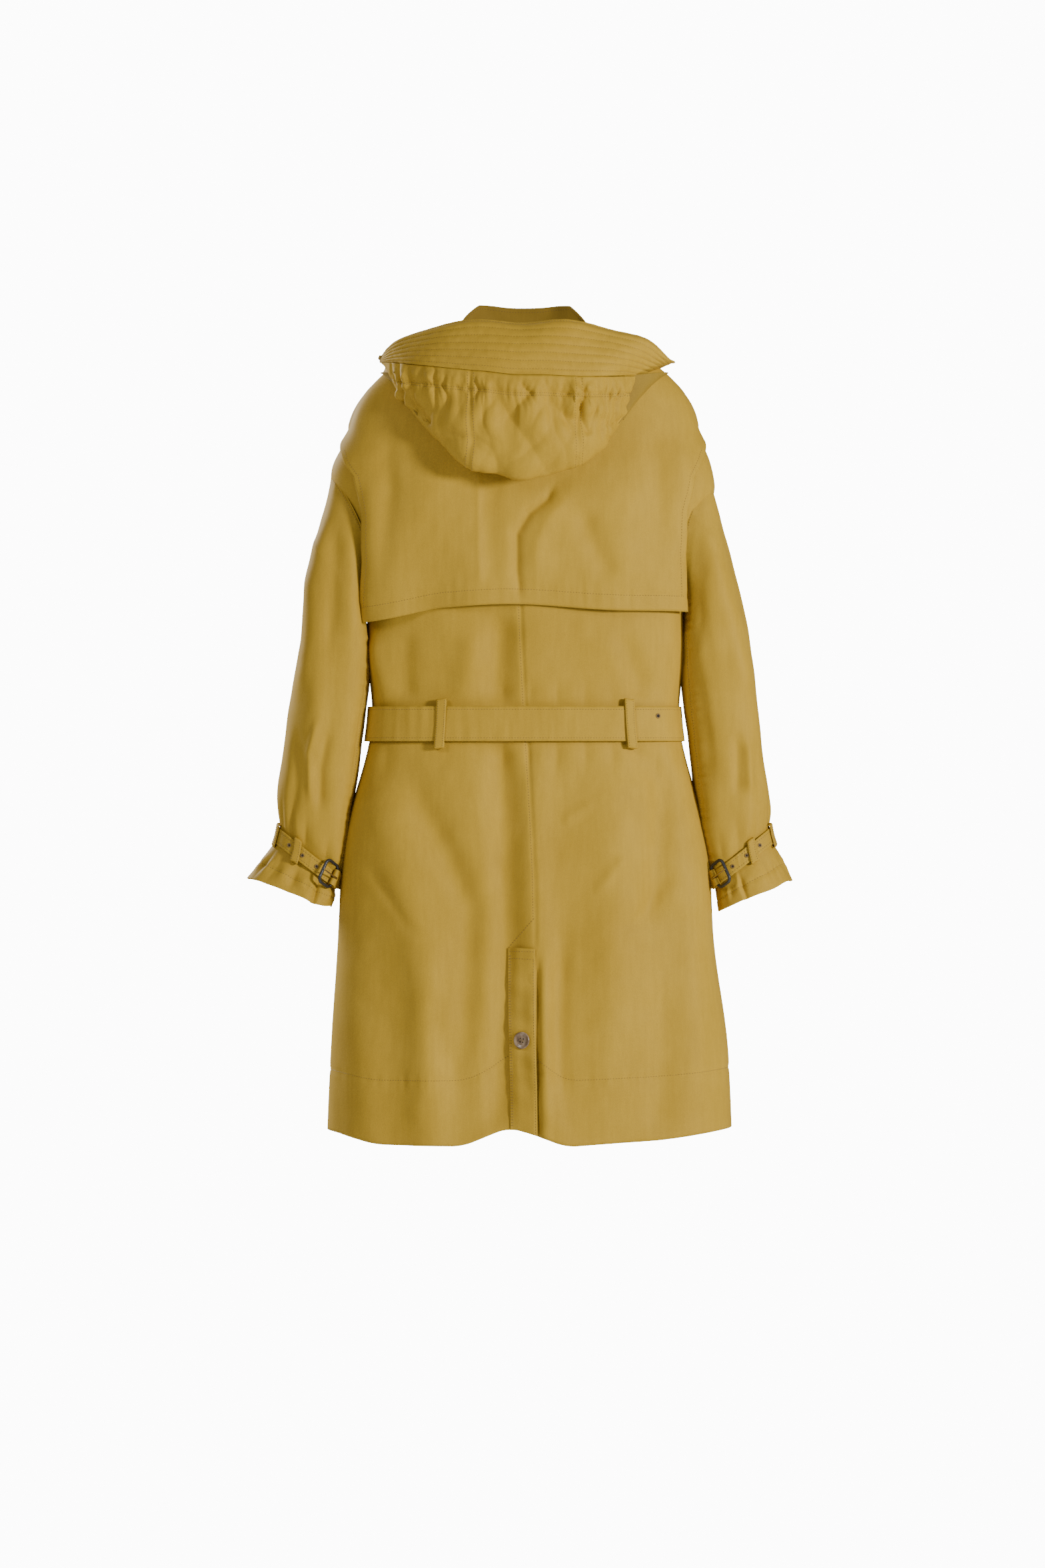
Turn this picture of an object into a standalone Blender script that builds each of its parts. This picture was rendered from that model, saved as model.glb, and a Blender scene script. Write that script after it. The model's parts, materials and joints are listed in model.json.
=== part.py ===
"""A hooded, belted raincoat of trench-coat cut, closed and hanging as it does from a hanger.

Metres, +Z up. The front faces -Y, the back +Y, and the wearer's left is +X. The origin is in the middle of
the neck opening, where the neck of a hanger passes and its two arms start to carry the shoulders.

The cloth is made as thin shells, each a surface given by a formula and thickened by Solidify. Layers that lie
on the body, such as the back cape, the belt and the front overlap, are the same surface moved outwards.
"""

import math

import bmesh
import bpy
import numpy as np
from mathutils import Matrix, Vector

# ---------------------------------------------------------------- driving dimensions
CLOTH = 0.0022  # shell thickness: face cloth and its facing
GAP = 0.0004  # between pieces that meet
SIDE_SEAM, CENTRE_SEAM = 0.0008, 0.00012  # radians left open at the body's seams
ROUNDNESS = 0.77  # power of sine and cosine round the body: 1 is an ellipse, less is boxier

# The body's outline, from the neck seam (0) to the hem (10). Side: half width and height. Back and front:
# how far from the middle plane, and height.
SIDE = ((0, 0.088, -0.030), (1, 0.150, -0.064), (2, 0.211, -0.106), (3, 0.235, -0.155), (4, 0.243, -0.200),
        (5, 0.224, -0.280), (6, 0.201, -0.365), (7, 0.197, -0.523), (8, 0.232, -0.700), (9, 0.245, -0.870),
        (10, 0.252, -1.046))
BACK = ((0, 0.048, -0.014), (1, 0.062, -0.062), (2, 0.070, -0.115), (3, 0.075, -0.165), (4, 0.078, -0.215),
        (5, 0.080, -0.290), (6, 0.080, -0.365), (7, 0.073, -0.523), (8, 0.092, -0.700), (9, 0.100, -0.870),
        (10, 0.106, -1.056))
FRONT = ((0, 0.056, -0.060), (1, 0.068, -0.095), (2, 0.075, -0.135), (3, 0.079, -0.175), (4, 0.081, -0.220),
         (5, 0.083, -0.290), (6, 0.083, -0.365), (7, 0.076, -0.523), (8, 0.095, -0.700), (9, 0.102, -0.870),
         (10, 0.108, -1.058))
ARMHOLE = {"height": -0.285, "half_height": 0.072, "half_depth": 0.045, "seam": 0.009}

# A sleeve, from the armhole (0) to the cuff's edge (6): its outer and inner line in the XZ plane, half depth.
SLEEVE_OUTER = ((0, 0.2470, -0.2050), (1, 0.2600, -0.2850), (2, 0.2780, -0.3700), (3, 0.2970, -0.4800),
                (4, 0.3110, -0.6000), (5, 0.3170, -0.6660), (6, 0.3400, -0.7160))
SLEEVE_INNER = ((0, 0.2080, -0.3500), (1, 0.2080, -0.3950), (2, 0.2110, -0.4500), (3, 0.2200, -0.5400),
                (4, 0.2360, -0.6680), (5, 0.2440, -0.7260), (6, 0.2500, -0.7570))
SLEEVE_ROUNDNESS = 0.85
SLEEVE_DEPTH = ((0, 0.0452), (1, 0.0562), (2, 0.056), (3, 0.052), (4, 0.044), (5, 0.038), (6, 0.046))
SHOULDER = (0.2425, 0.0, -0.2060)  # the sleeve turns about a line through this, front to back

# Back cape: a second layer from the shoulders, free at its lower edge. It lifts about its fold.
CAPE = {"offset": 0.0078, "top": 0.80, "fold": 4.30, "hem": 6.12}
CAPE_EDGE = ((0.80, 0.10), (2.6, 0.14), (3.4, 0.58), (4.2, 0.68), (5.2, 0.62), (6.12, 0.42))  # angle from side
STORM_FLAP = {"offset": 0.0084, "top": 0.60, "hem": 4.6, "inner": 0.62}

# Hood, hanging down the back: a bag with its mouth up, and a stitched brim round the mouth.
HOOD = {"half_width": 0.186, "mouth_z": -0.083, "mouth_rise": 0.014, "bottom_z": -0.212, "inner_y": 0.096,
        "outer_y": 0.150, "tip_y": 0.020, "seam_x": 0.070, "end": 1.17}
BRIM = {"top_y": 0.114, "top_z": -0.0075, "tip_z": -0.052, "thick": 0.0030, "end": 1.50}
HOOD_AXIS = (0.0, 0.0, -0.060)
COLLAR = {"front_z": 0.0265, "side_z": -0.016, "back_z": -0.006}

BELT = {"width": 0.045, "thick": 0.0028, "offset": 0.0072, "level": 7.0}
BELT_LOOP = {"width": 0.012, "height": 0.061, "wall": 0.0013, "angles": (1.107, 2.22, 3.60, 5.82)}
BELT_BUCKLE = {"length": 0.046, "height": 0.060, "bar": 0.0024, "prong": 0.0014, "at": 4.7124}
CUFF_STRAP = {"width": 0.022, "thick": 0.0020, "offset": 0.0044, "level": 5.0}
CUFF_LOOP = {"width": 0.010, "height": 0.031, "wall": 0.0011, "angles": (0.35, 1.31, 5.06)}
CUFF_BUCKLE = {"length": 0.024, "height": 0.031, "bar": 0.0019, "prong": 0.0010, "at": 2.12}

BUTTON = {"radius": 0.0110, "thick": 0.0038, "lift": 0.0006}
VENT = {"left": 0.021, "right": -0.0125, "top": 8.66, "offset": 0.0034, "button": 9.36}
OVERLAP = {"free": 0.40, "under": 0.30, "flat": 0.36, "ramp": 0.56, "offset": 0.0034}
FRONT_BUTTONS = (2.6, 4.9, 6.35, 8.1)
WELT = {"from": 7.45, "to": 8.35, "angle": 0.93, "slant": -0.16, "width": 0.034, "offset": 0.0036}


# ---------------------------------------------------------------- helpers
def clear_scene():
    for obj in list(bpy.data.objects):
        bpy.data.objects.remove(obj)


def make_material(name, colour, roughness, metallic=0.0):
    made = bpy.data.materials.new(name)
    made.use_nodes = True
    shader = made.node_tree.nodes["Principled BSDF"]
    shader.inputs["Base Color"].default_value = (*colour, 1.0)
    shader.inputs["Roughness"].default_value = roughness
    shader.inputs["Metallic"].default_value = metallic
    made.diffuse_color = (*colour, 1.0)
    return made


def track(stations):
    """A smooth curve through (t, values...) stations, as a function of t that returns the values."""
    t = np.array([s[0] for s in stations], float)
    values = np.array([s[1:] for s in stations], float)
    slope = np.gradient(values, t, axis=0)

    def at(x):
        x = min(max(x, t[0]), t[-1])
        i = min(int(np.searchsorted(t, x, side="right")) - 1, len(t) - 2)
        step = t[i + 1] - t[i]
        k = (x - t[i]) / step
        start, end = (1 + 2 * k) * (1 - k) ** 2, k * k * (3 - 2 * k)
        leave, arrive = k * (1 - k) ** 2 * step, k * k * (k - 1) * step
        return start * values[i] + end * values[i + 1] + leave * slope[i] + arrive * slope[i + 1]

    return at


def steps(start, end, count):
    return [start + (end - start) * i / count for i in range(count + 1)]


def new_object(name, mesh, material):
    mesh.materials.clear()
    mesh.materials.append(material)
    obj = bpy.data.objects.new(name, mesh)
    bpy.context.scene.collection.objects.link(obj)
    return obj


def grid_mesh(name, rows, closed=False):
    """Quads between rows of points. Closed rows are rings."""
    shape = bmesh.new()
    verts = [[shape.verts.new(p) for p in row] for row in rows]
    for upper, lower in zip(verts, verts[1:]):
        count = len(upper)
        for i in range(count if closed else count - 1):
            j = (i + 1) % count
            shape.faces.new((upper[i], lower[i], lower[j], upper[j]))
    mesh = bpy.data.meshes.new(name)
    shape.to_mesh(mesh)
    shape.free()
    mesh.shade_smooth()
    return mesh


def cloth(name, rows, material, thick=CLOTH, closed=False, side=-1.0):
    """A shell of cloth over rows of points. side -1 puts the thickness behind the faces, 1 in front."""
    obj = new_object(name, grid_mesh(name, rows, closed), material)
    wall = obj.modifiers.new("thickness", "SOLIDIFY")
    wall.thickness = thick
    wall.offset = side
    wall.use_even_offset = False
    return obj


def cut(obj, cutter):
    cutter.hide_render = True
    cutter.display_type = "WIRE"
    opening = obj.modifiers.new("cut_" + cutter.name, "BOOLEAN")
    opening.object = cutter
    opening.operation = "DIFFERENCE"
    opening.solver = "EXACT"


def primitive(name, material, build, place=None, bevel=0.0):
    """An object from bmesh operators run by build(shape), placed by a matrix."""
    shape = bmesh.new()
    build(shape)
    mesh = bpy.data.meshes.new(name)
    shape.to_mesh(mesh)
    shape.free()
    obj = new_object(name, mesh, material)
    mesh.shade_smooth()
    mesh.set_sharp_from_angle(angle=math.radians(35))
    if place is not None:
        obj.matrix_world = place
    if bevel:
        edge = obj.modifiers.new("edge", "BEVEL")
        edge.width = bevel
        edge.segments = 2
        edge.limit_method = "ANGLE"
    return obj


def tube_curve(name, points, radius, material, closed=False, sides=1):
    """A round bar along a poly line."""
    data = bpy.data.curves.new(name, "CURVE")
    data.dimensions = "3D"
    line = data.splines.new("POLY")
    line.points.add(len(points) - 1)
    for point, place in zip(line.points, points):
        point.co = (*place, 1.0)
    line.use_cyclic_u = closed
    data.bevel_depth = radius
    data.bevel_resolution = sides
    data.use_fill_caps = not closed
    data.materials.append(material)
    obj = bpy.data.objects.new(name, data)
    bpy.context.scene.collection.objects.link(obj)
    return obj


def body_empty(name, place):
    """An empty on a joint's axis, which carries a moving body's pieces."""
    empty = bpy.data.objects.new("axis_" + name, None)
    empty.location = place
    empty.empty_display_size = 0.03
    bpy.context.scene.collection.objects.link(empty)
    bpy.context.view_layer.update()
    return empty


def carry(empty, *objects):
    bpy.context.view_layer.update()
    for obj in objects:
        obj.parent = empty
        obj.matrix_parent_inverse = empty.matrix_world.inverted()


def frame_at(origin, along, outward):
    """A matrix with X along a strap, Z away from the cloth, and Y across the strap."""
    z = Vector(outward).normalized()
    x = Vector(along)
    x = (x - z * x.dot(z)).normalized()
    y = z.cross(x)
    return Matrix.Translation(origin) @ Matrix((x, y, z)).transposed().to_4x4()


# ---------------------------------------------------------------- surfaces
side_line, back_line, front_line = track(SIDE), track(BACK), track(FRONT)
outer_line, inner_line, depth_line = track(SLEEVE_OUTER), track(SLEEVE_INNER), track(SLEEVE_DEPTH)
cape_edge = track(CAPE_EDGE)


def power(value, exponent):
    return math.copysign(abs(value) ** exponent, value)


def body_surface(u, v):
    """A point of the body. u runs from the left side over the back to the right side and the front, in
    radians, and v from the neck seam to the hem."""
    half_width, side_z = side_line(v)
    depth, middle_z = back_line(v) if math.sin(u) >= 0 else front_line(v)
    share = math.sin(u) ** 2
    return Vector((half_width * power(math.cos(u), ROUNDNESS), depth * power(math.sin(u), ROUNDNESS),
                   side_z * (1 - share) + middle_z * share))


def side_angle(y, v):
    """The u at which the left half of the body is y away from its middle plane."""
    depth = back_line(v)[0] if y >= 0 else front_line(v)[0]
    return math.copysign(math.asin(min(abs(y) / depth, 0.999) ** (1 / ROUNDNESS)), y)


def back_angle(x, v):
    """The u at which the back is x away from the coat's centre line."""
    angle = math.acos((abs(x) / side_line(v)[0]) ** (1 / ROUNDNESS))
    return angle if x > 0 else math.pi - angle


def armhole_point(u, lift):
    """A point of the armhole seam on the left side of the body."""
    y = ARMHOLE["half_depth"] * math.sin(u)
    z = ARMHOLE["height"] + ARMHOLE["half_height"] * math.cos(u)
    low, high = 2.0, 8.0
    for _ in range(30):
        middle = (low + high) / 2
        above = body_surface(side_angle(y, middle), middle).z > z
        low, high = (middle, high) if above else (low, middle)
    return on_body(side_angle(y, low), low, lift)


def sleeve_surface(u, v):
    """A point of the left sleeve. u runs from its outer side over the back to its inner side and the front."""
    (ox, oz), (ix, iz), (depth,) = outer_line(v), inner_line(v), depth_line(v)
    across, back = power(math.cos(u), SLEEVE_ROUNDNESS), power(math.sin(u), SLEEVE_ROUNDNESS)
    tube = Vector(((ox + ix) / 2 + (ox - ix) / 2 * across, depth * back, (oz + iz) / 2 + (oz - iz) / 2 * across))
    if v >= 1:
        return tube
    share = max(v, 0.0) ** 2 * (3 - 2 * max(v, 0.0))
    return armhole_point(u, 0.0030).lerp(tube, share)


def lifted(surface, u, v, offset, middle):
    """A point moved along the surface's normal, away from the middle of its section."""
    e = 1e-3
    normal = (surface(u + e, v) - surface(u - e, v)).cross(surface(u, v + e) - surface(u, v - e)).normalized()
    here = surface(u, v)
    return here + normal * math.copysign(offset, offset * normal.dot(here - middle))


def on_body(u, v, offset=0.0):
    return lifted(body_surface, u, v, offset, Vector((0, 0, side_line(v)[1] - 0.02)))


def on_sleeve(u, v, offset=0.0):
    if not offset:
        return sleeve_surface(u, v)
    (ox, oz), (ix, iz) = outer_line(v), inner_line(v)
    return lifted(sleeve_surface, u, v, offset, Vector(((ox + ix) / 2, 0, (oz + iz) / 2)))


def reach(surface, u, v, along=0.0, down=0.0):
    """The (u, v) that is a distance round the surface, and then a distance down it."""
    parts, e = 12, 1e-3
    for _ in range(parts):
        u += along / parts * 2 * e / (surface(u + e, v) - surface(u - e, v)).length
    for _ in range(parts):
        v += down / parts * 2 * e / (surface(u, v + e) - surface(u, v - e)).length
    return u, v


def ramp(x, start, end):
    """0 before start, 1 after end, smooth between."""
    k = min(max((x - start) / (end - start), 0.0), 1.0)
    return k * k * (3 - 2 * k)


def mirrored(rows, side):
    """The rows themselves, or on the coat's right side their mirror image, still facing outwards."""
    if side > 0:
        return rows
    return [[Vector((-p.x, p.y, p.z)) for p in reversed(row)] for row in rows]


# ---------------------------------------------------------------- body
def body_panels(fabric):
    """Two backs and two fronts, seamed at the sides. The left front laps over the right."""
    levels = steps(0.0, 6.0, 11) + steps(6.25, 8.0, 7) + steps(8.5, 10.0, 3)
    middle, pi = 1.5 * math.pi, math.pi

    def front_offset(u):
        return OVERLAP["offset"] * (1 - ramp(u, middle + OVERLAP["flat"], middle + OVERLAP["ramp"]))

    spans = {"back_panel_left": (SIDE_SEAM, pi / 2 - CENTRE_SEAM), "back_panel_right": (pi / 2 + CENTRE_SEAM,
             pi - SIDE_SEAM), "front_panel_right": (pi + SIDE_SEAM, middle + OVERLAP["under"]),
             "front_panel_left": (middle - OVERLAP["free"], 2 * pi - SIDE_SEAM)}
    cutters = {side: armhole_cutter(side, fabric) for side in ("left", "right")}
    for name, (start, end) in spans.items():
        count = 11 if "back" in name else 14
        angles = steps(start, end, count)
        lap = front_offset if name == "front_panel_left" else lambda u: 0.0
        rows = [[on_body(u, v, lap(u)) for u in angles] for v in levels]
        panel = cloth(name, rows, fabric)
        cut(panel, cutters[name.split("_")[-1]])


def armhole_cutter(side, material):
    sign = 1 if side == "left" else -1
    height, depth = ARMHOLE["half_height"] - ARMHOLE["seam"], ARMHOLE["half_depth"] - ARMHOLE["seam"]
    turn = Matrix.Rotation(math.pi / 2, 4, "Y") @ Matrix.Diagonal((height, depth, 0.16, 1))
    place = Matrix.Translation((sign * 0.23, 0, ARMHOLE["height"])) @ turn

    def build(shape):
        bmesh.ops.create_cone(shape, cap_ends=True, segments=24, radius1=1, radius2=1, depth=1)

    return primitive("armhole_" + side, material, build, place)


def collar(fabric, tape):
    """The hood's neckband: low at the back, standing at the front where the hood's edges meet."""
    rows = []
    for share in (0.0, 0.5, 1.0):
        row = []
        for u in steps(0, 2 * math.pi, 32)[:-1]:
            foot = body_surface(u, 0.0)
            if math.sin(u) < 0:
                top = COLLAR["side_z"] + (COLLAR["front_z"] - COLLAR["side_z"]) * ramp(-math.sin(u), 0.1, 0.85)
            else:
                top = COLLAR["side_z"] + (COLLAR["back_z"] - COLLAR["side_z"]) * ramp(math.sin(u), 0.1, 0.9)
            foot_z = foot.z + 0.0040
            spread = 1 + 0.05 * share - 0.17 * share * ramp(-math.sin(u), 0.5, 1.0)
            row.append(Vector((foot.x * spread, foot.y * (1 + 0.06 * share), foot_z + (top - foot_z) * share)))
        rows.append(list(reversed(row)))
    cloth("collar", rows, fabric, closed=True, side=1.0)
    arc = [Vector((0.026 * math.cos(a), 0.0405 - 0.004 * math.sin(a), -0.021 - 0.016 * math.sin(a)))
           for a in steps(0, math.pi, 10)]
    tube_curve("hang_loop", arc, 0.0014, tape)


def back_cape(fabric):
    """Fixed from the shoulders to its fold, and a flap below, free at its lower edge."""
    levels_top = steps(CAPE["top"], CAPE["fold"] - 0.006, 7)
    levels_flap = steps(CAPE["fold"] + 0.006, CAPE["hem"], 5)
    pieces = []
    for name, levels in (("back_cape_top", levels_top), ("back_cape_flap", levels_flap)):
        rows = []
        for v in levels:
            edge = cape_edge(v)[0]
            rows.append([on_body(u, v, CAPE["offset"]) for u in steps(edge, math.pi - edge, 22)])
        pieces.append(cloth(name, rows, fabric))
    return pieces[1]


def storm_flaps(fabric):
    """A second layer on each side of the chest, from the shoulder."""
    for name, side in (("storm_flap_left", 1), ("storm_flap_right", -1)):
        rows = []
        for v in steps(STORM_FLAP["top"], STORM_FLAP["hem"], 8):
            share = (v - STORM_FLAP["top"]) / (STORM_FLAP["hem"] - STORM_FLAP["top"])
            outer = 2 * math.pi - max(cape_edge(v)[0] if v < 4.6 else 0.68, 0.10)
            inner = 1.5 * math.pi + STORM_FLAP["inner"] - 0.02 * math.sin(math.pi * share)
            rows.append([on_body(u, v, STORM_FLAP["offset"]) for u in steps(inner, outer, 7)])
        cloth(name, mirrored(rows, side), fabric)


def welts(fabric):
    """Slanting pocket welts below the belt."""
    for name, side in (("pocket_welt_left", 1), ("pocket_welt_right", -1)):
        rows = []
        for v in steps(WELT["from"], WELT["to"], 5):
            u = 1.5 * math.pi + WELT["angle"] + WELT["slant"] * (v - WELT["from"])
            start = reach(body_surface, u, v, along=-WELT["width"] / 2)[0]
            end = reach(body_surface, u, v, along=WELT["width"] / 2)[0]
            rows.append([on_body(a, v, WELT["offset"]) for a in steps(start, end, 3)])
        cloth(name, mirrored(rows, side), fabric)


def button(name, place, horn):
    """A round button with a rim. Its underside is at the origin of place."""
    radius, thick = BUTTON["radius"], BUTTON["thick"]
    section = ((0.0, 0.0), (0.72, 0.0), (0.96, 0.30), (1.0, 0.62), (0.90, 1.0), (0.76, 0.96), (0.66, 0.62),
               (0.0, 0.55))

    def build(shape):
        points = [shape.verts.new((radius * r, 0, thick * z)) for r, z in section]
        edges = [shape.edges.new(pair) for pair in zip(points, points[1:])]
        bmesh.ops.spin(shape, geom=points + edges, cent=(0, 0, 0), axis=(0, 0, 1), angle=2 * math.pi, steps=14)
        bmesh.ops.remove_doubles(shape, verts=shape.verts, dist=1e-5)
        bmesh.ops.recalc_face_normals(shape, faces=shape.faces)

    return primitive(name, horn, build, place)


def place_on(surface, lifted_surface, u, v, offset, side=1):
    """A matrix on a surface, X round it, Z outwards."""
    e = 1e-2
    here = lifted_surface(u, v, offset)
    along = surface(u + e, v) - surface(u - e, v)
    out = lifted_surface(u, v, offset + 0.01) - here
    flip = Vector((side, 1, 1))
    return frame_at(here * flip, along * flip, out * flip)


def front_buttons(horn):
    """Two columns down the front overlap."""
    middle = 1.5 * math.pi
    for side, name in ((1, "left"), (-1, "right")):
        for number, v in enumerate(FRONT_BUTTONS, 1):
            u = middle + side * 0.27
            place = place_on(body_surface, on_body, u, v, OVERLAP["offset"] + BUTTON["lift"])
            button(f"front_button_{name}_{number}", place, horn)


def vent(fabric, horn):
    """The flap that covers the slit below the centre back seam, closed by one button."""
    rows = []
    for v in steps(VENT["top"], 10.0, 7):
        start, end = back_angle(VENT["left"], v), back_angle(VENT["right"], v)
        rows.append([on_body(u, v, VENT["offset"]) for u in steps(start, end, 4)])
    cloth("vent_flap", rows, fabric)
    u = back_angle(0.0034, VENT["button"])
    place = place_on(body_surface, on_body, u, VENT["button"], VENT["offset"] + BUTTON["lift"])
    button("vent_button", place, horn)


# ---------------------------------------------------------------- hood
def mouth(angle):
    """The hood's mouth seam, seen from above a half ellipse from the left tip round the back."""
    x = HOOD["half_width"] * math.sin(angle)
    y = HOOD["tip_y"] + (HOOD["outer_y"] - HOOD["tip_y"]) * math.cos(angle)
    return Vector((x, y, HOOD["mouth_z"] + HOOD["mouth_rise"] * math.sin(angle) ** 2))


def bag_point(angle, turn):
    """A point of the bag. turn goes from the mouth's outer edge (0), under, to its inner edge (pi)."""
    edge, shrink = mouth(angle), max(math.cos(angle), 0.0)
    half = (HOOD["outer_y"] - HOOD["inner_y"]) / 2 * shrink ** 1.1
    drop = (edge.z - HOOD["bottom_z"]) * shrink ** 1.8
    return Vector((edge.x, edge.y - half + half * math.cos(turn), edge.z - drop * math.sin(turn)))


def hood_panels(fabric, band_cloth):
    """The moving bag in three panels, its stitched brim, and the fixed panel from the neck to the mouth."""
    seam, end = math.asin(HOOD["seam_x"] / HOOD["half_width"]), HOOD["end"]
    gap = 0.0030
    turns = steps(0.0, math.pi, 13)
    spans = {"hood_side_left": (end, seam + gap, 6), "hood_center_panel": (seam - gap, -seam + gap, 5),
             "hood_side_right": (-seam - gap, -end, 6)}
    moving = []
    for name, (start, stop, count) in spans.items():
        angles = steps(start, stop, count)
        moving.append(cloth(name, [[bag_point(a, t) for a in angles] for t in turns], fabric))
    rows = []
    for share in (1.0, 0.66, 0.33, 0.0):
        row = []
        for angle in steps(BRIM["end"], -BRIM["end"], 28):
            foot = mouth(angle)
            foot.z += 3 * GAP
            wide = math.cos(angle)
            rim_z = BRIM["top_z"] + (BRIM["tip_z"] - BRIM["top_z"]) * abs(math.sin(angle)) ** 3.4
            rim_y = HOOD["tip_y"] + (BRIM["top_y"] - HOOD["tip_y"]) * wide
            bulge = 0.006 * math.sin(math.pi * share) * wide
            row.append(Vector((foot.x, foot.y + (rim_y - foot.y) * share + bulge,
                               foot.z + (rim_z - foot.z) * share)))
        rows.append(row)
    moving.append(cloth("hood_brim", rows, band_cloth, thick=BRIM["thick"]))
    rows = []
    for share in steps(0.0, 1.0, 4):
        row = []
        for angle in steps(end * 0.97, -end * 0.97, 16):
            neck = on_body(math.pi / 2 - angle, 0.05, 0.0060)
            edge = bag_point(angle, math.pi)
            bow = Vector((0, 0.6, 0.8)) * (0.008 * math.sin(math.pi * share))
            row.append(neck.lerp(edge + Vector((0, -0.0030, 0.0012)), share) + bow)
        rows.append(row)
    cloth("hood_neck_panel", rows, fabric)
    return moving


# ---------------------------------------------------------------- straps and buckles
def strip(name, surface, raised, spans, level, size, offset_at, material, side=1):
    """A strap round a surface at a level. spans is (start, end, count) in u."""
    start, end, count = spans
    rows = []
    for down in (-size["width"] / 2, size["width"] / 2):
        rows.append([raised(*reach(surface, u, level, down=down), offset_at(u)) for u in steps(start, end, count)])
    return cloth(name, mirrored(rows, side), material, thick=size["thick"])


def strap_loop(name, surface, raised, u, level, size, low, high, material, side=1):
    """A band right round a strap, standing on the surface, low and high its inner faces' offsets."""
    half = size["height"] / 2
    section = [(-half, low), (half, low), (half, high), (-half, high)]
    ring = []
    for (d0, o0), (d1, o1) in zip(section, section[1:] + section[:1]):
        ring += [(d0 + (d1 - d0) * k, o0 + (o1 - o0) * k) for k in (0.06, 0.50, 0.94)]
    rows = []
    for along in (-size["width"] / 2, size["width"] / 2):
        row = []
        for down, offset in ring:
            row.append(raised(*reach(surface, u, level, along=along, down=down), offset))
        rows.append(row)
    return cloth(name, mirrored(rows, side), material, thick=size["wall"], closed=True, side=1.0)


def buckle(prefix, place, size, strap, leather, metal, material):
    """A frame hinged on the folded end of a strap, and its prong. X runs from the hinge along the frame."""
    length, half, bar, thin = size["length"], size["height"] / 2, size["bar"], size["prong"]
    corner = 0.005
    path = []
    for cx, cy, first in ((length - corner, half - corner, 0), (corner, half - corner, 90),
                          (corner, corner - half, 180), (length - corner, corner - half, 270)):
        for turn in (0, 45, 90):
            angle = math.radians(first + turn)
            path.append(Vector((cx + corner * math.cos(angle), cy + corner * math.sin(angle), 0)))
    frame = tube_curve(prefix + "_frame", path, bar, leather, closed=True)
    reach_out = bar + GAP + thin
    hook = [Vector((reach_out * math.cos(a), 0, reach_out * math.sin(a)))
            for a in steps(math.radians(215), math.radians(90), 7)]
    tip = Vector((length + bar * 0.8, 0, reach_out))
    prong = tube_curve(prefix + "_prong", hook + [hook[-1].lerp(tip, 0.5), tip], thin, metal)
    fold = strap_fold(prefix, size, strap, material)
    for obj in (frame, prong, fold):
        obj.matrix_world = place
    return frame, prong, fold


def strap_fold(prefix, size, strap, material):
    """The strap's end, folded round the frame's hinge bar, with a notch for the prong."""
    bar, thin = size["bar"], size["prong"]
    inner = bar + GAP + 0.0002
    tail_z = -(buckle_lift(size) - GAP - strap["thick"] / 2 - 0.0006)
    ring = [(inner * math.cos(a), inner * math.sin(a)) for a in steps(-math.pi / 2, math.pi / 2, 6)]
    ring += [(-0.006, inner * 0.55 + tail_z * 0.5), (-0.011, tail_z + 0.0003), (-0.011, tail_z - 0.0003),
             (-0.006, tail_z * 0.5 - inner * 0.55)]
    half = strap["width"] / 2 - 0.0005
    rows = [[Vector((x, y, z)) for x, z in ring] for y in (-half, half)]
    fold = cloth(prefix + "_fold", rows, material, thick=0.0011, closed=True, side=1.0)
    wide, deep = 2 * (thin + 0.0005), 2 * (inner + 0.003)

    def build(shape):
        bmesh.ops.create_cube(shape, size=1)

    notch = primitive(prefix + "_notch", material, build, Matrix.Diagonal((deep * 1.15, wide, deep * 2, 1)))
    notch.parent = fold
    cut(fold, notch)
    return fold


def buckle_lift(size):
    """Height of the frame's hinge bar above the layer it lies on: the prong's hook passes between."""
    return size["bar"] + GAP + 2 * size["prong"] + 0.0006


def belt(fabric, leather, metal):
    outer, thick = BELT["offset"], BELT["thick"]
    level, at, length = BELT["level"], BELT_BUCKLE["at"], BELT_BUCKLE["length"]
    heel = reach(body_surface, at, level, along=length / 2)[0]
    start = reach(body_surface, heel, level, along=0.0128)[0]

    def offset_at(u):
        return outer + (thick + 0.0006) * (1 - ramp(u, start + 0.42, start + 0.62))

    end = 2 * math.pi + start + 0.34
    strip("belt_strap", body_surface, on_body, (start, end, 84), level, BELT, offset_at, fabric)
    for name, u in zip(("back_left", "back_right", "front_right", "front_left"), BELT_LOOP["angles"]):
        top = offset_at(u if u > start else u + 2 * math.pi)
        strap_loop("belt_loop_" + name, body_surface, on_body, u, level, BELT_LOOP, BELT_LOOP["wall"] + 0.0013,
                   top + 0.0012, fabric)
    place = place_on(body_surface, on_body, heel, level, outer + buckle_lift(BELT_BUCKLE))
    place = place @ Matrix.Rotation(math.pi, 4, "Z")
    return buckle("belt_buckle", place, BELT_BUCKLE, BELT, leather, metal, fabric)


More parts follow.
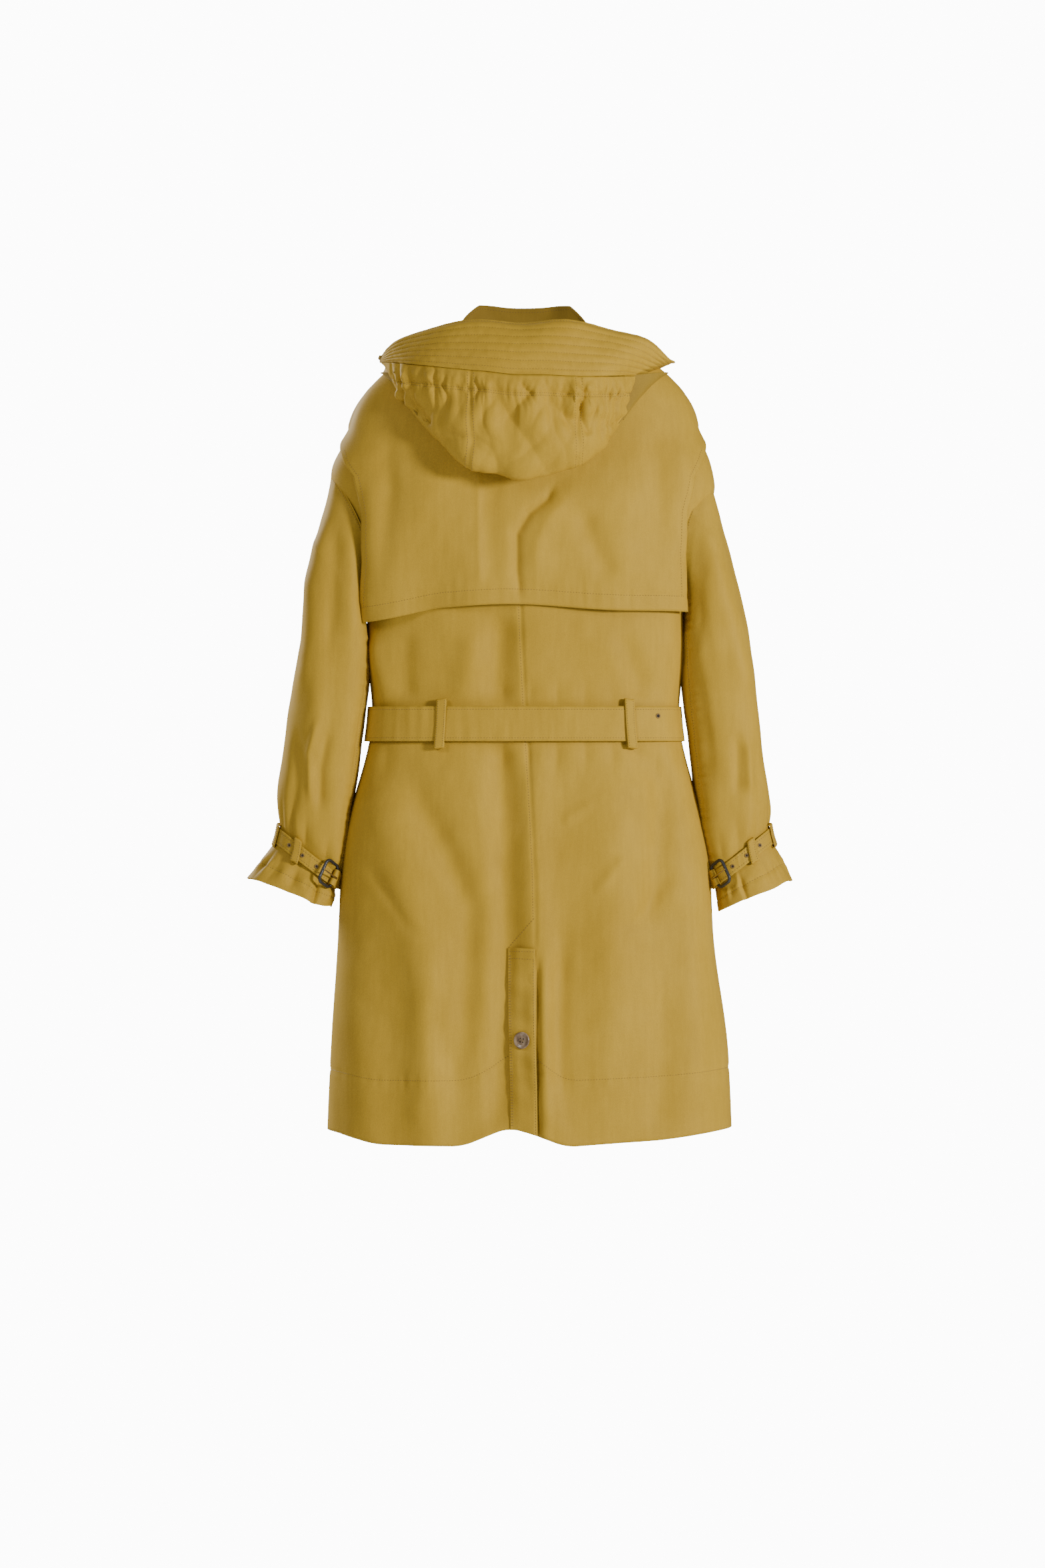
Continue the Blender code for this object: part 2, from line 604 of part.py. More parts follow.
def sleeve(name, side, fabric, leather, metal):
    """A sleeve with its wrist strap, carriers and buckle. All of it swings with the arm."""
    rows = [[on_sleeve(u, v) for u in steps(0, 2 * math.pi, 24)[:-1]] for v in SLEEVE_LEVELS]
    pieces = [cloth("sleeve_" + name, mirrored(rows, side), fabric, closed=True)]
    level, at, length = CUFF_STRAP["level"], CUFF_BUCKLE["at"], CUFF_BUCKLE["length"]
    outer, thick = CUFF_STRAP["offset"], CUFF_STRAP["thick"]
    heel = reach(sleeve_surface, at, level, along=length / 2)[0]
    start = reach(sleeve_surface, heel, level, along=0.0128)[0]

    def offset_at(u):
        return outer + (thick + 0.0006) * (1 - ramp(u, start + 0.50, start + 0.95))

    end = 2 * math.pi + start + 0.30
    pieces.append(strip("cuff_strap_" + name, sleeve_surface, on_sleeve, (start, end, 48), level, CUFF_STRAP,
                        offset_at, fabric, side))
    for part, u in zip(("outer", "back", "front"), CUFF_LOOP["angles"]):
        pieces.append(strap_loop(f"cuff_loop_{name}_{part}", sleeve_surface, on_sleeve, u, level, CUFF_LOOP,
                                 CUFF_LOOP["wall"] + 0.0010, outer + 0.0014, fabric, side))
    place = place_on(sleeve_surface, on_sleeve, heel, level, outer + buckle_lift(CUFF_BUCKLE), side)
    place = place @ Matrix.Rotation(math.pi, 4, "Z")
    return pieces, buckle("cuff_buckle_" + name, place, CUFF_BUCKLE, CUFF_STRAP, leather, metal, fabric)


SLEEVE_LEVELS = (0.0, 0.16, 0.34, 0.55, 0.78, 1.0, 1.5, 2.0, 2.6, 3.2, 3.8, 4.4, 4.8, 5.2, 5.6, 6.0)


def main():
    clear_scene()
    gabardine = make_material("gabardine", (0.50, 0.31, 0.07), 0.72)
    lining = make_material("facing", (0.30, 0.18, 0.035), 0.8)
    horn = make_material("horn", (0.32, 0.22, 0.13), 0.35)
    leather = make_material("black_leather", (0.018, 0.017, 0.016), 0.45)
    brass = make_material("brass", (0.62, 0.48, 0.25), 0.3, 1.0)
    body_panels(gabardine)
    collar(lining, lining)
    flap = back_cape(gabardine)
    storm_flaps(gabardine)
    welts(gabardine)
    front_buttons(horn)
    vent(gabardine, horn)
    hood = hood_panels(gabardine, gabardine)
    belt_frame, belt_prong, _ = belt(gabardine, leather, brass)
    moving = {"hood": (HOOD_AXIS, hood), "cape": (on_body(math.pi / 2, CAPE["fold"], CAPE["offset"]), [flap])}
    moving["belt_frame"] = (belt_frame.matrix_world.translation.copy(), [belt_frame, belt_prong])
    for name, side in (("left", 1), ("right", -1)):
        pieces, (frame, prong, fold) = sleeve(name, side, gabardine, leather, brass)
        place = (side * SHOULDER[0], SHOULDER[1], SHOULDER[2])
        moving["sleeve_" + name] = (place, pieces + [fold, frame, prong])
    for name, (place, objects) in moving.items():
        carry(body_empty(name, place), *objects)


main()
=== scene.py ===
"""The visual model of a hooded, belted raincoat: cloth surfaces with folds, seams and stitches over the frame.

Metres, in the frame's own axes: +Z up, the coat's back towards +Y, the wearer's left towards +X.
"""
import json
import math

import bpy
import numpy as np
from mathutils import Matrix, Vector

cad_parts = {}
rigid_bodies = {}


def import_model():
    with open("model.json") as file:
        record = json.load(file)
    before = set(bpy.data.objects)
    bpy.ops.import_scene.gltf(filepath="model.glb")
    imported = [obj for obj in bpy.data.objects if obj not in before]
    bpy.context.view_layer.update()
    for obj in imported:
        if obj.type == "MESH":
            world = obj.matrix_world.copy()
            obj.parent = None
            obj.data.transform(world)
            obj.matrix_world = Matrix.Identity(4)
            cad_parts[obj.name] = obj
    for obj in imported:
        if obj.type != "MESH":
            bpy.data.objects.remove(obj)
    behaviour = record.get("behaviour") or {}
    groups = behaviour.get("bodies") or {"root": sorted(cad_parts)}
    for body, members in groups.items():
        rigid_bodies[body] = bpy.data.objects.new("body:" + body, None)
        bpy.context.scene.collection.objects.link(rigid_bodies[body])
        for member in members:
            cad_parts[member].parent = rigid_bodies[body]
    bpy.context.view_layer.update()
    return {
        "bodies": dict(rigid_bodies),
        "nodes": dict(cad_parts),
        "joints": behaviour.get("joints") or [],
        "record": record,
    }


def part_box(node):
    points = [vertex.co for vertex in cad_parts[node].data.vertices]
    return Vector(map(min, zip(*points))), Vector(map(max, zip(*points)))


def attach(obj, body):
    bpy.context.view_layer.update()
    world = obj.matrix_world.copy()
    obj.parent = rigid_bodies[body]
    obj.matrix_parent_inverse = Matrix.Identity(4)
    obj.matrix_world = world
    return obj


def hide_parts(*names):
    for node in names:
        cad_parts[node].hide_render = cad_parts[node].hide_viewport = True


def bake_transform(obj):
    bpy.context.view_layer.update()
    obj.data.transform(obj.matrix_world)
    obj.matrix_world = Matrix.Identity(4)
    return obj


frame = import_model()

PI = math.pi

# ---------------------------------------------------------------- the coat's own dimensions, as in the CAD
ROUNDNESS, SLEEVE_ROUNDNESS = 0.77, 0.85
SIDE = ((0, 0.088, -0.030), (1, 0.150, -0.064), (2, 0.211, -0.106), (3, 0.235, -0.155), (4, 0.243, -0.200),
        (5, 0.224, -0.280), (6, 0.201, -0.365), (7, 0.197, -0.523), (8, 0.232, -0.700), (9, 0.245, -0.870),
        (10, 0.252, -1.046))
BACK = ((0, 0.048, -0.014), (1, 0.062, -0.062), (2, 0.070, -0.115), (3, 0.075, -0.165), (4, 0.078, -0.215),
        (5, 0.080, -0.290), (6, 0.080, -0.365), (7, 0.073, -0.523), (8, 0.092, -0.700), (9, 0.100, -0.870),
        (10, 0.106, -1.056))
FRONT = ((0, 0.056, -0.060), (1, 0.068, -0.095), (2, 0.075, -0.135), (3, 0.079, -0.175), (4, 0.081, -0.220),
         (5, 0.083, -0.290), (6, 0.083, -0.365), (7, 0.076, -0.523), (8, 0.095, -0.700), (9, 0.102, -0.870),
         (10, 0.108, -1.058))
SLEEVE_OUTER = ((0, 0.2470, -0.2050), (1, 0.2600, -0.2850), (2, 0.2780, -0.3700), (3, 0.2970, -0.4800),
                (4, 0.3110, -0.6000), (5, 0.3170, -0.6660), (6, 0.3400, -0.7160))
SLEEVE_INNER = ((0, 0.2080, -0.3500), (1, 0.2080, -0.3950), (2, 0.2110, -0.4500), (3, 0.2200, -0.5400),
                (4, 0.2360, -0.6680), (5, 0.2440, -0.7260), (6, 0.2500, -0.7570))
SLEEVE_DEPTH = ((0, 0.0452), (1, 0.0562), (2, 0.056), (3, 0.052), (4, 0.044), (5, 0.038), (6, 0.046))
ARMHOLE_Z, ARMHOLE_HALF, ARMHOLE_DEPTH = -0.285, 0.072, 0.045


# ---------------------------------------------------------------- numbers
def track(stations):
    """A smooth curve through (t, values...) stations, as a function of an array of t."""
    t = np.array([s[0] for s in stations], float)
    values = np.array([s[1:] for s in stations], float)
    slope = np.gradient(values, t, axis=0)

    def at(x):
        x = np.clip(np.asarray(x, float), t[0], t[-1])
        i = np.clip(np.searchsorted(t, x, side="right") - 1, 0, len(t) - 2)
        step = (t[i + 1] - t[i])[..., None]
        k = (x[..., None] - t[i][..., None]) / step
        start, end = (1 + 2 * k) * (1 - k) ** 2, k * k * (3 - 2 * k)
        leave, arrive = k * (1 - k) ** 2 * step, k * k * (k - 1) * step
        return start * values[i] + end * values[i + 1] + leave * slope[i] + arrive * slope[i + 1]

    return at


def across_from(start, end, count):
    """Even values along a grid's columns."""
    return np.linspace(start, end, count)[None, :]


def down_from(start, end, count):
    """Even values down a grid's rows."""
    return np.linspace(start, end, count)[:, None]


def ramp(x, start, end):
    k = np.clip((np.asarray(x, float) - start) / (end - start), 0.0, 1.0)
    return k * k * (3 - 2 * k)


def bell(x, centre, width):
    return np.exp(-(((x - centre) / width) ** 2))


def power(value, exponent):
    return np.sign(value) * np.abs(value) ** exponent


def field(p, q, seed, wavelength, waves=22, lean=None, spread=PI):
    """A smooth random field of about unit height over two coordinates. lean is the waves' main direction."""
    rng = np.random.RandomState(seed)
    total = np.zeros(np.broadcast(p, q).shape)
    for _ in range(waves):
        angle = rng.uniform(0, PI) if lean is None else lean + rng.uniform(-spread, spread)
        k = 2 * PI / wavelength * rng.uniform(0.6, 1.5)
        total += np.sin(k * (p * math.cos(angle) + q * math.sin(angle)) + rng.uniform(0, 2 * PI))
    return total / math.sqrt(waves / 2)


def crumple(p, q, seed, wavelength, waves=22, lean=None, spread=PI):
    """Rounded ridges parted by sharp valleys, about unit height."""
    return 1.6 * (np.sqrt(field(p, q, seed, wavelength, waves, lean, spread) ** 2 + 0.010) - 0.62)


def crease(p, q, path, width, height, sharp=2.0, taper=0.25):
    """A ridge (or with height below 0 a groove) along a path of (p, q) points, dying out at both ends."""
    best = np.full(np.broadcast(p, q).shape, 1e9)
    share = np.zeros_like(best)
    lengths = [math.dist(a, b) for a, b in zip(path, path[1:])]
    total, run = sum(lengths), 0.0
    for (a, b), length in zip(zip(path, path[1:]), lengths):
        dp, dq = (b[0] - a[0]) / length, (b[1] - a[1]) / length
        k = np.clip((p - a[0]) * dp + (q - a[1]) * dq, 0, length)
        away = np.hypot(p - a[0] - k * dp, q - a[1] - k * dq)
        near = away < best
        best = np.where(near, away, best)
        share = np.where(near, (run + k) / total, share)
        run += length
    ends = ramp(share, 0.0, taper) * (1 - ramp(share, 1 - taper, 1.0))
    return height * np.exp(-np.abs(best / width) ** sharp) * (0.12 + 0.88 * ends)


def creases(p, q, rows):
    """The sum of a table of creases, each (path, width, height, then sharp and taper where they differ)."""
    total = 0
    for path, *rest in rows:
        total = total + crease(p, q, path, *rest)
    return total


side_line, back_line, front_line = track(SIDE), track(BACK), track(FRONT)
outer_line, inner_line, depth_line = track(SLEEVE_OUTER), track(SLEEVE_INNER), track(SLEEVE_DEPTH)


def body_surface(u, v):
    u, v = np.broadcast_arrays(u, v)
    side, back, front = side_line(v), back_line(v), front_line(v)
    behind = (np.sin(u) >= 0)[..., None]
    middle = np.where(behind, back, front)
    share = np.sin(u) ** 2
    return np.stack((side[..., 0] * power(np.cos(u), ROUNDNESS), middle[..., 0] * power(np.sin(u), ROUNDNESS),
                     side[..., 1] * (1 - share) + middle[..., 1] * share), -1)


def pace(surface, u, v, du=1e-3, dv=0.0):
    """Metres of surface for each unit of u, or with du 0 and dv above 0 of v."""
    return np.linalg.norm(surface(u + du, v + dv) - surface(u - du, v - dv), axis=-1) / (2 * (du + dv))


def back_angle(x, v):
    angle = np.arccos(np.clip(np.abs(x) / side_line(v)[..., 0], 0, 1) ** (1 / ROUNDNESS))
    return np.where(x > 0, angle, PI - angle)


def even_angles(start, end, count, v=8.0):
    """Angles between start and end at even distances round the body."""
    fine = np.linspace(start, end, 4000)
    points = body_surface(fine, np.full_like(fine, v))
    run = np.concatenate(([0], np.cumsum(np.linalg.norm(np.diff(points, axis=0), axis=1))))
    return np.interp(np.linspace(0, run[-1], count), run, fine)


def normals_of(points, closed=False):
    """Unit normals of a grid whose rows run down and whose columns run round, seen from outside to the right."""
    if closed:
        wide = np.concatenate((points[:, -1:], points, points[:, :1]), axis=1)
        along = np.gradient(wide, axis=1)[:, 1:-1]
    else:
        along = np.gradient(points, axis=1)
    down = np.gradient(points, axis=0)
    normal = np.cross(down, along)
    return normal / np.maximum(np.linalg.norm(normal, axis=-1, keepdims=True), 1e-12)


def sample(grid, rows, columns):
    """Values of a grid at fractional row and column numbers."""
    rows, columns = np.broadcast_arrays(np.asarray(rows, float), np.asarray(columns, float))
    r = np.clip(rows, 0, grid.shape[0] - 1.001)
    c = np.clip(columns, 0, grid.shape[1] - 1.001)
    i, j = r.astype(int), c.astype(int)
    fr, fc = (r - i)[..., None], (c - j)[..., None]
    return ((1 - fr) * (1 - fc) * grid[i, j] + (1 - fr) * fc * grid[i, j + 1]
            + fr * (1 - fc) * grid[i + 1, j] + fr * fc * grid[i + 1, j + 1])


# ---------------------------------------------------------------- materials
class Nodes:
    """Short names for building a material's nodes. An input is given as a value or as another node's output."""

    def __init__(self, name):
        self.material = bpy.data.materials.new(name)
        self.material.use_nodes = True
        self.tree = self.material.node_tree
        self.place = self.add("TexCoord", {}).outputs["Object"]

    def put(self, node, inputs):
        for key, value in inputs.items():
            socket = node.inputs[key]
            if isinstance(value, bpy.types.NodeSocket):
                self.tree.links.new(value, socket)
            else:
                socket.default_value = (*value, 1.0) if socket.type == "RGBA" else value

    def add(self, kind, inputs, **settings):
        node = self.tree.nodes.new("ShaderNode" + kind)
        for name, value in settings.items():
            setattr(node, name, value)
        self.put(node, inputs)
        return node

    def mapped(self, **change):
        return self.add("Mapping", {"Vector": self.place, **change}).outputs["Vector"]

    def noise(self, scale, detail=3.0, rough=0.55, stretch=None):
        vector = self.mapped(Scale=stretch) if stretch else self.place
        inputs = {"Scale": scale, "Detail": detail, "Roughness": rough, "Vector": vector}
        return self.add("TexNoise", inputs).outputs["Fac"]

    def wave(self, scale, direction, distortion):
        vector = self.mapped(Rotation=direction)
        return self.add("TexWave", {"Scale": scale, "Distortion": distortion, "Vector": vector}).outputs["Fac"]

    def uneven(self, scale, least, more):
        """A roughness that varies between least and least + more."""
        inputs = {0: self.noise(scale), 1: more, 2: least}
        return self.add("Math", inputs, operation="MULTIPLY_ADD").outputs[0]

    def colours(self, factor, *stops):
        node = self.add("ValToRGB", {"Fac": factor})
        while len(node.color_ramp.elements) < len(stops):
            node.color_ramp.elements.new(0.5)
        for element, (place, colour) in zip(node.color_ramp.elements, stops):
            element.position, element.color = place, (*colour, 1.0)
        return node.outputs["Color"]

    def shaded(self, factor, colour, shade):
        inputs = {"Factor": factor, "A": colour, "B": shade}
        return self.add("Mix", inputs, data_type="RGBA", blend_type="MULTIPLY").outputs["Result"]

    def bump(self, height, distance, strength, **under):
        inputs = {"Distance": distance, "Strength": strength, "Height": height, **under}
        return self.add("Bump", inputs).outputs["Normal"]

    def finish(self, colour, roughness, **more):
        inputs = {name.replace("_", " "): value for name, value in more.items()}
        self.put(self.tree.nodes["Principled BSDF"], {"Base Color": colour, "Roughness": roughness, **inputs})
        return self.material


def gabardine(name, base, dark, light, sheen=0.03, crinkle=0.0003):
    """Tightly woven cotton twill: fine diagonal rib, slubs, mild mottling and small crinkles."""
    n = Nodes(name)
    slub, weave = n.noise(160.0, 2.0, 0.6, (1.0, 1.0, 0.12)), n.noise(900.0, 1.0, 0.5)
    shade = n.colours(n.noise(7.0, 4.0, 0.6), (0.30, dark), (0.52, base), (0.74, light))
    shade = n.shaded(0.25, shade, n.colours(slub, (0.3, (0.80, 0.78, 0.72)), (0.7, (1.10, 1.10, 1.12))))
    shade = n.shaded(0.22, shade, n.colours(weave, (0.3, (0.78, 0.77, 0.74)), (0.7, (1.13, 1.13, 1.15))))
    normal = n.bump(n.noise(34.0, 3.0, 0.5), crinkle, 0.55)
    normal = n.bump(weave, 0.00025, 0.35, Normal=normal)
    normal = n.bump(n.wave(420.0, (0.0, 0.78, 0.0), 0.6), 0.00012, 0.25, Normal=normal)
    return n.finish(shade, n.uneven(22.0, 0.58, 0.18), Normal=normal, Sheen_Weight=sheen, Sheen_Roughness=0.42,
                    Sheen_Tint=(1.0, 0.82, 0.35), Specular_IOR_Level=0.16)


MUSTARD = (0.445, 0.272, 0.024), (0.412, 0.248, 0.020), (0.478, 0.296, 0.029)
CLOTH = gabardine("gabardine_cloth", *MUSTARD)
# Painted shade: the inside faces get a darker copy of the same gabardine, standing for the shade inside the coat.
INSIDE_SHADE = gabardine("gabardine_inside_painted_shade", (0.270, 0.165, 0.016), (0.240, 0.145, 0.013), (0.300, 0.188, 0.020), 0.05)
# Painted shade: the neckband is a still darker copy of the gabardine, standing for the shade it lies in behind the
# hood.
NECK_SHADE = gabardine("gabardine_neckband_painted_shade", (0.205, 0.122, 0.010), (0.180, 0.105, 0.008), (0.232, 0.140, 0.013))
TRIM = gabardine("gabardine_strap", *MUSTARD, crinkle=0.0002)


def thread_material():
    n = Nodes("sewing_thread")
    twist = n.wave(700.0, (0.5, 0.5, 0.0), 0.5)
    shade = n.colours(twist, (0.2, (0.135, 0.074, 0.008)), (0.8, (0.21, 0.118, 0.015)))
    return n.finish(shade, 0.55, Normal=n.bump(twist, 0.0001, 0.4), Sheen_Weight=0.2)


def waxed_material():
    n = Nodes("waxed_thread")
    twist = n.wave(700.0, (0.5, 0.5, 0.0), 0.5)
    return n.finish(n.colours(twist, (0.2, (0.02, 0.018, 0.016)), (0.8, (0.075, 0.070, 0.065))), 0.45)


def horn_material():
    n = Nodes("horn")
    shade = n.colours(n.noise(130.0, 5.0, 0.62, (1.0, 1.0, 0.45)), (0.25, (0.045, 0.026, 0.014)),
                      (0.45, (0.20, 0.125, 0.066)), (0.6, (0.36, 0.26, 0.16)), (0.8, (0.50, 0.42, 0.32)))
    normal = n.bump(n.noise(600.0, 2.0), 0.00012, 0.25)
    return n.finish(shade, 0.28, Normal=normal, Coat_Weight=0.5, Coat_Roughness=0.12)


def leather_material():
    n = Nodes("black_leather")
    grain = n.add("TexVoronoi", {"Scale": 900.0, "Vector": n.place}).outputs["Distance"]
    shade = n.colours(n.noise(90.0, 4.0), (0.3, (0.010, 0.009, 0.009)), (0.7, (0.024, 0.022, 0.021)))
    return n.finish(shade, n.uneven(60.0, 0.30, 0.25), Normal=n.bump(grain, 0.0002, 0.5), Coat_Weight=0.25,
                    Coat_Roughness=0.3)


def metal_material():
    n = Nodes("aged_brass")
    shade = n.colours(n.noise(120.0, 4.0), (0.3, (0.30, 0.22, 0.11)), (0.7, (0.50, 0.39, 0.21)))
    normal = n.bump(n.noise(400.0, 2.0), 0.00008, 0.3)
    return n.finish(shade, n.uneven(250.0, 0.22, 0.22), Normal=normal, Metallic=1.0)


def cloudy(name, scale, dark, light, roughness):
    n = Nodes(name)
    return n.finish(n.colours(n.noise(scale), (0.3, dark), (0.7, light)), roughness)


THREAD, HORN, LEATHER, METAL = thread_material(), horn_material(), leather_material(), metal_material()
# The dark discs in eyelets and button holes are painted shade, standing for the shadow inside each hole.
WAXED, HOLE_SHADE = waxed_material(), cloudy("hole_painted_shade", 300.0, (0.010, 0.007, 0.003), (0.030, 0.020, 0.008), 0.9)


# ---------------------------------------------------------------- making pieces
def flipped(points, side):
    """The grid, or for side -1 its mirror image on the other side of the coat."""
    return points if side > 0 else points[:, ::-1] * np.array((-1, 1, 1))


def grid_object(name, points, materials, thick=0.0016, closed=False, side=-1.0, keep=None):
    """A sheet of cloth over a grid of points, thickened inwards. materials are (outside, inside)."""
    rows, columns = points.shape[:2]
    index = np.arange(rows * columns).reshape(rows, columns)
    after = np.roll(index, -1, axis=1) if closed else index[:, 1:]
    here = index if closed else index[:, :-1]
    faces = np.stack((here[:-1], here[1:], after[1:], after[:-1]), -1).reshape(-1, 4)
    if keep is not None:
        faces = faces[keep.ravel()]
    mesh = bpy.data.meshes.new(name)
    mesh.from_pydata(points.reshape(-1, 3), [], faces)
    mesh.shade_smooth()
    for material in materials:
        mesh.materials.append(material)
    obj = bpy.data.objects.new(name, mesh)
    bpy.context.scene.collection.objects.link(obj)
    if thick:
        wall = obj.modifiers.new("thickness", "SOLIDIFY")
        wall.thickness, wall.offset, wall.use_even_offset = thick, side, False
        if len(materials) > 1:
            wall.material_offset = 1
    return obj


def solid_object(name, verts, faces, material, smooth=True):
    mesh = bpy.data.meshes.new(name)
    mesh.from_pydata([tuple(p) for p in verts], [], [tuple(int(i) for i in f) for f in faces])
    if smooth:
        mesh.shade_smooth()
    mesh.materials.append(material)
    obj = bpy.data.objects.new(name, mesh)
    bpy.context.scene.collection.objects.link(obj)
    return obj


threads = {}  # (where it rides, which thread) -> lists of stitch vertices and faces


def stitch(key, points, normals, pitch=0.0036, length=0.0026, width=0.00085, height=0.00045):
    """Thread dashes along a line that lies on cloth."""
    points, normals = np.asarray(points, float), np.asarray(normals, float)
    run = np.concatenate(([0], np.cumsum(np.linalg.norm(np.diff(points, axis=0), axis=1))))
    count = max(int(run[-1] / pitch), 1)
    at = (np.arange(count) + 0.5) * run[-1] / count
    centre = np.stack([np.interp(at, run, points[:, k]) for k in range(3)], -1)
    ahead = np.stack([np.interp(at + 0.0005, run, points[:, k]) for k in range(3)], -1)
    behind = np.stack([np.interp(at - 0.0005, run, points[:, k]) for k in range(3)], -1)
    up = np.stack([np.interp(at, run, normals[:, k]) for k in range(3)], -1)
    up /= np.maximum(np.linalg.norm(up, axis=1, keepdims=True), 1e-9)
    along = ahead - behind
    along /= np.maximum(np.linalg.norm(along, axis=1, keepdims=True), 1e-9)
    across = np.cross(up, along)
    half = length / 2
    corners = (centre + along * half - up * 0.0002, centre + across * width / 2 + up * 0.00005,
               centre + up * height, centre - across * width / 2 + up * 0.00005,
               centre - along * half - up * 0.0002, centre + along * half * 0.55 + up * height * 0.8,
               centre - along * half * 0.55 + up * height * 0.8)
    block = np.stack(corners, 1).reshape(-1, 3)
    if not (isinstance(key, tuple) and len(key) == 2):
        key = (key, "cotton")
    store = threads.setdefault(key, [[], [], 0])
    face = np.array(((0, 1, 5), (0, 5, 3), (1, 2, 5), (2, 3, 5), (1, 6, 2), (2, 6, 3), (1, 4, 6), (6, 4, 3)))
    store[0].append(block)
    store[1].append((face[None] + 7 * np.arange(count)[:, None, None]).reshape(-1, 3) + store[2])
    store[2] += len(block)


def finish_threads():
    for (key, kind), (blocks, faces, _) in threads.items():
        body = key if isinstance(key, str) else "_".join(key[:2])
        name = f"stitching_{kind}_{body}"
        material = THREAD if kind == "cotton" else WAXED
        show(solid_object(name, np.concatenate(blocks), np.concatenate(faces), material, smooth=False), key,
             "gabardine" if kind == "cotton" else "black_leather")


def show(obj, body, slot, *nodes):
    """A piece rides on a body, or, given two bodies and a hinge, stays fixed where it is, and stands for its CAD
    nodes, which it hides.
    """
    if isinstance(body, str):
        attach(obj, body)
    else:
        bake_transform(obj)
    if nodes:
        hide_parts(*nodes)


class Cloth:
    """A shown sheet of cloth, kept with its grid so that stitches and other pieces can be laid on it."""

    # By default a sheet's inside faces take the darker cloth, which is painted shade.
    def __init__(self, name, points, body, *nodes, look=(CLOTH, INSIDE_SHADE), slot="gabardine", closed=False, **build):
        self.points, self.normal, self.body = points, normals_of(points, closed), body
        self.piece = grid_object(name, points, look, closed=closed, **build)
        show(self.piece, body, slot, *nodes)

    def sew(self, rows, columns, body=None, **sizes):
        """Stitches along fractional grid rows and columns."""
        stitch(body or self.body, sample(self.points, rows, columns), sample(self.normal, rows, columns), **sizes)


# ---------------------------------------------------------------- settling cloth
SETTLING_FRAMES = 28


def settle(points, hold, slack, bend):
    """Lets a grid of cloth that is a little too large for its place buckle and hang. hold 1 is sewn down."""
    rows, columns = points.shape[:2]
    uneven = 0.00025 * field(points[..., 0] * 1.3 + points[..., 1], points[..., 2], 7, 0.045)
    obj = grid_object("settling", points + normals_of(points) * uneven[..., None], (CLOTH,), 0.0)
    group = obj.vertex_groups.new(name="hold")
    levels = np.round(np.broadcast_to(hold, (rows, columns)).ravel(), 2)
    for level in np.unique(levels):
        if level > 0:
            group.add(np.flatnonzero(levels == level).tolist(), float(level), "REPLACE")
    cloth = obj.modifiers.new("cloth", "CLOTH")
    rules = cloth.settings
    rules.quality, rules.mass, rules.air_damping = 5, 0.12, 3.0
    rules.tension_stiffness, rules.compression_stiffness, rules.shear_stiffness = 25, 25, 10
    rules.bending_stiffness, rules.tension_damping, rules.compression_damping = bend, 12, 12
    rules.vertex_group_mass, rules.pin_stiffness, rules.shrink_min = "hold", 1.0, -slack
    rules.effector_weights.gravity = 0.25
    cloth.collision_settings.use_collision = False
    cloth.point_cache.frame_end = SETTLING_FRAMES
    scene = bpy.context.scene
    for number in range(1, SETTLING_FRAMES + 1):
        scene.frame_set(number)
    ready = obj.evaluated_get(bpy.context.evaluated_depsgraph_get())
    flat = np.empty(rows * columns * 3)
    ready.data.vertices.foreach_get("co", flat)
    mesh = obj.data
    bpy.data.objects.remove(obj)
    bpy.data.meshes.remove(mesh)
    scene.frame_set(1)
    return flat.reshape(rows, columns, 3)


def finer(grid, rows, columns):
    """The same grid with more rows and columns, smoothly."""
    last_row, last_column = grid.shape[0] - 1, grid.shape[1] - 1
    r, c = np.broadcast_arrays(rows * last_row, columns * last_column)
    i, j = np.clip(r.astype(int), 0, last_row - 1), np.clip(c.astype(int), 0, last_column - 1)
    fr, fc = r - i, c - j

    def weights(f):
        return (-0.5 * f ** 3 + f ** 2 - 0.5 * f, 1.5 * f ** 3 - 2.5 * f ** 2 + 1,
                -1.5 * f ** 3 + 2 * f ** 2 + 0.5 * f, 0.5 * f ** 3 - 0.5 * f ** 2)

    total = 0
    for a, wa in zip((-1, 0, 1, 2), weights(fr)):
        for b, wb in zip((-1, 0, 1, 2), weights(fc)):
            near = grid[np.clip(i + a, 0, last_row), np.clip(j + b, 0, last_column)]
            total = total + (wa * wb)[..., None] * near
    return total


# ---------------------------------------------------------------- back
BELT_LEVEL = 7.0


def belt_calm(v):
    """Cloth lies flat under the belt."""
    return 0.12 + 0.88 * ramp(np.abs(v - BELT_LEVEL), 0.10, 0.26)


def outside_armhole(points):
    """Which faces of a body panel are kept: those outside the sleeve's opening."""
    middle = (points[:-1, :-1] + points[1:, 1:]) / 2
    inside = (middle[..., 1] / ARMHOLE_DEPTH) ** 2 + ((middle[..., 2] - ARMHOLE_Z) / ARMHOLE_HALF) ** 2 < 0.70
    return ~(inside & (np.abs(middle[..., 0]) > 0.15))


HEM_BACK = ((-0.262, -1.041), (-0.165, -1.0545), (-0.053, -1.0620), (-0.0136, -1.0470), (0.0204, -1.0375),
            (0.035, -1.0430), (0.079, -1.0615), (0.191, -1.0605), (0.252, -1.045))
HEM_FRONT = ((-0.262, -1.039), (-0.150, -1.060), (-0.0825, -1.0770), (-0.030, -1.058), (0.020, -1.047),
             (0.050, -1.050), (0.125, -1.0750), (0.190, -1.058), (0.252, -1.041))


def hem_shift(x, v, front=False):
    """How far the cloth near the hem moves up or down so that the hem follows its own line round the coat."""
    line = np.array(HEM_FRONT if front else HEM_BACK)
    smooth = sum(np.interp(x + away, line[:, 0], line[:, 1]) for away in (-0.012, -0.006, 0, 0.006, 0.012)) / 5
    wide = np.clip(np.abs(x) / 0.252, 0, 1) ** (2 / ROUNDNESS)
    plain = -1.046 * wide + (-1.058 if front else -1.056) * (1 - wide)
    return (smooth - plain) * ramp(v, 8.0, 10.0) ** 1.5


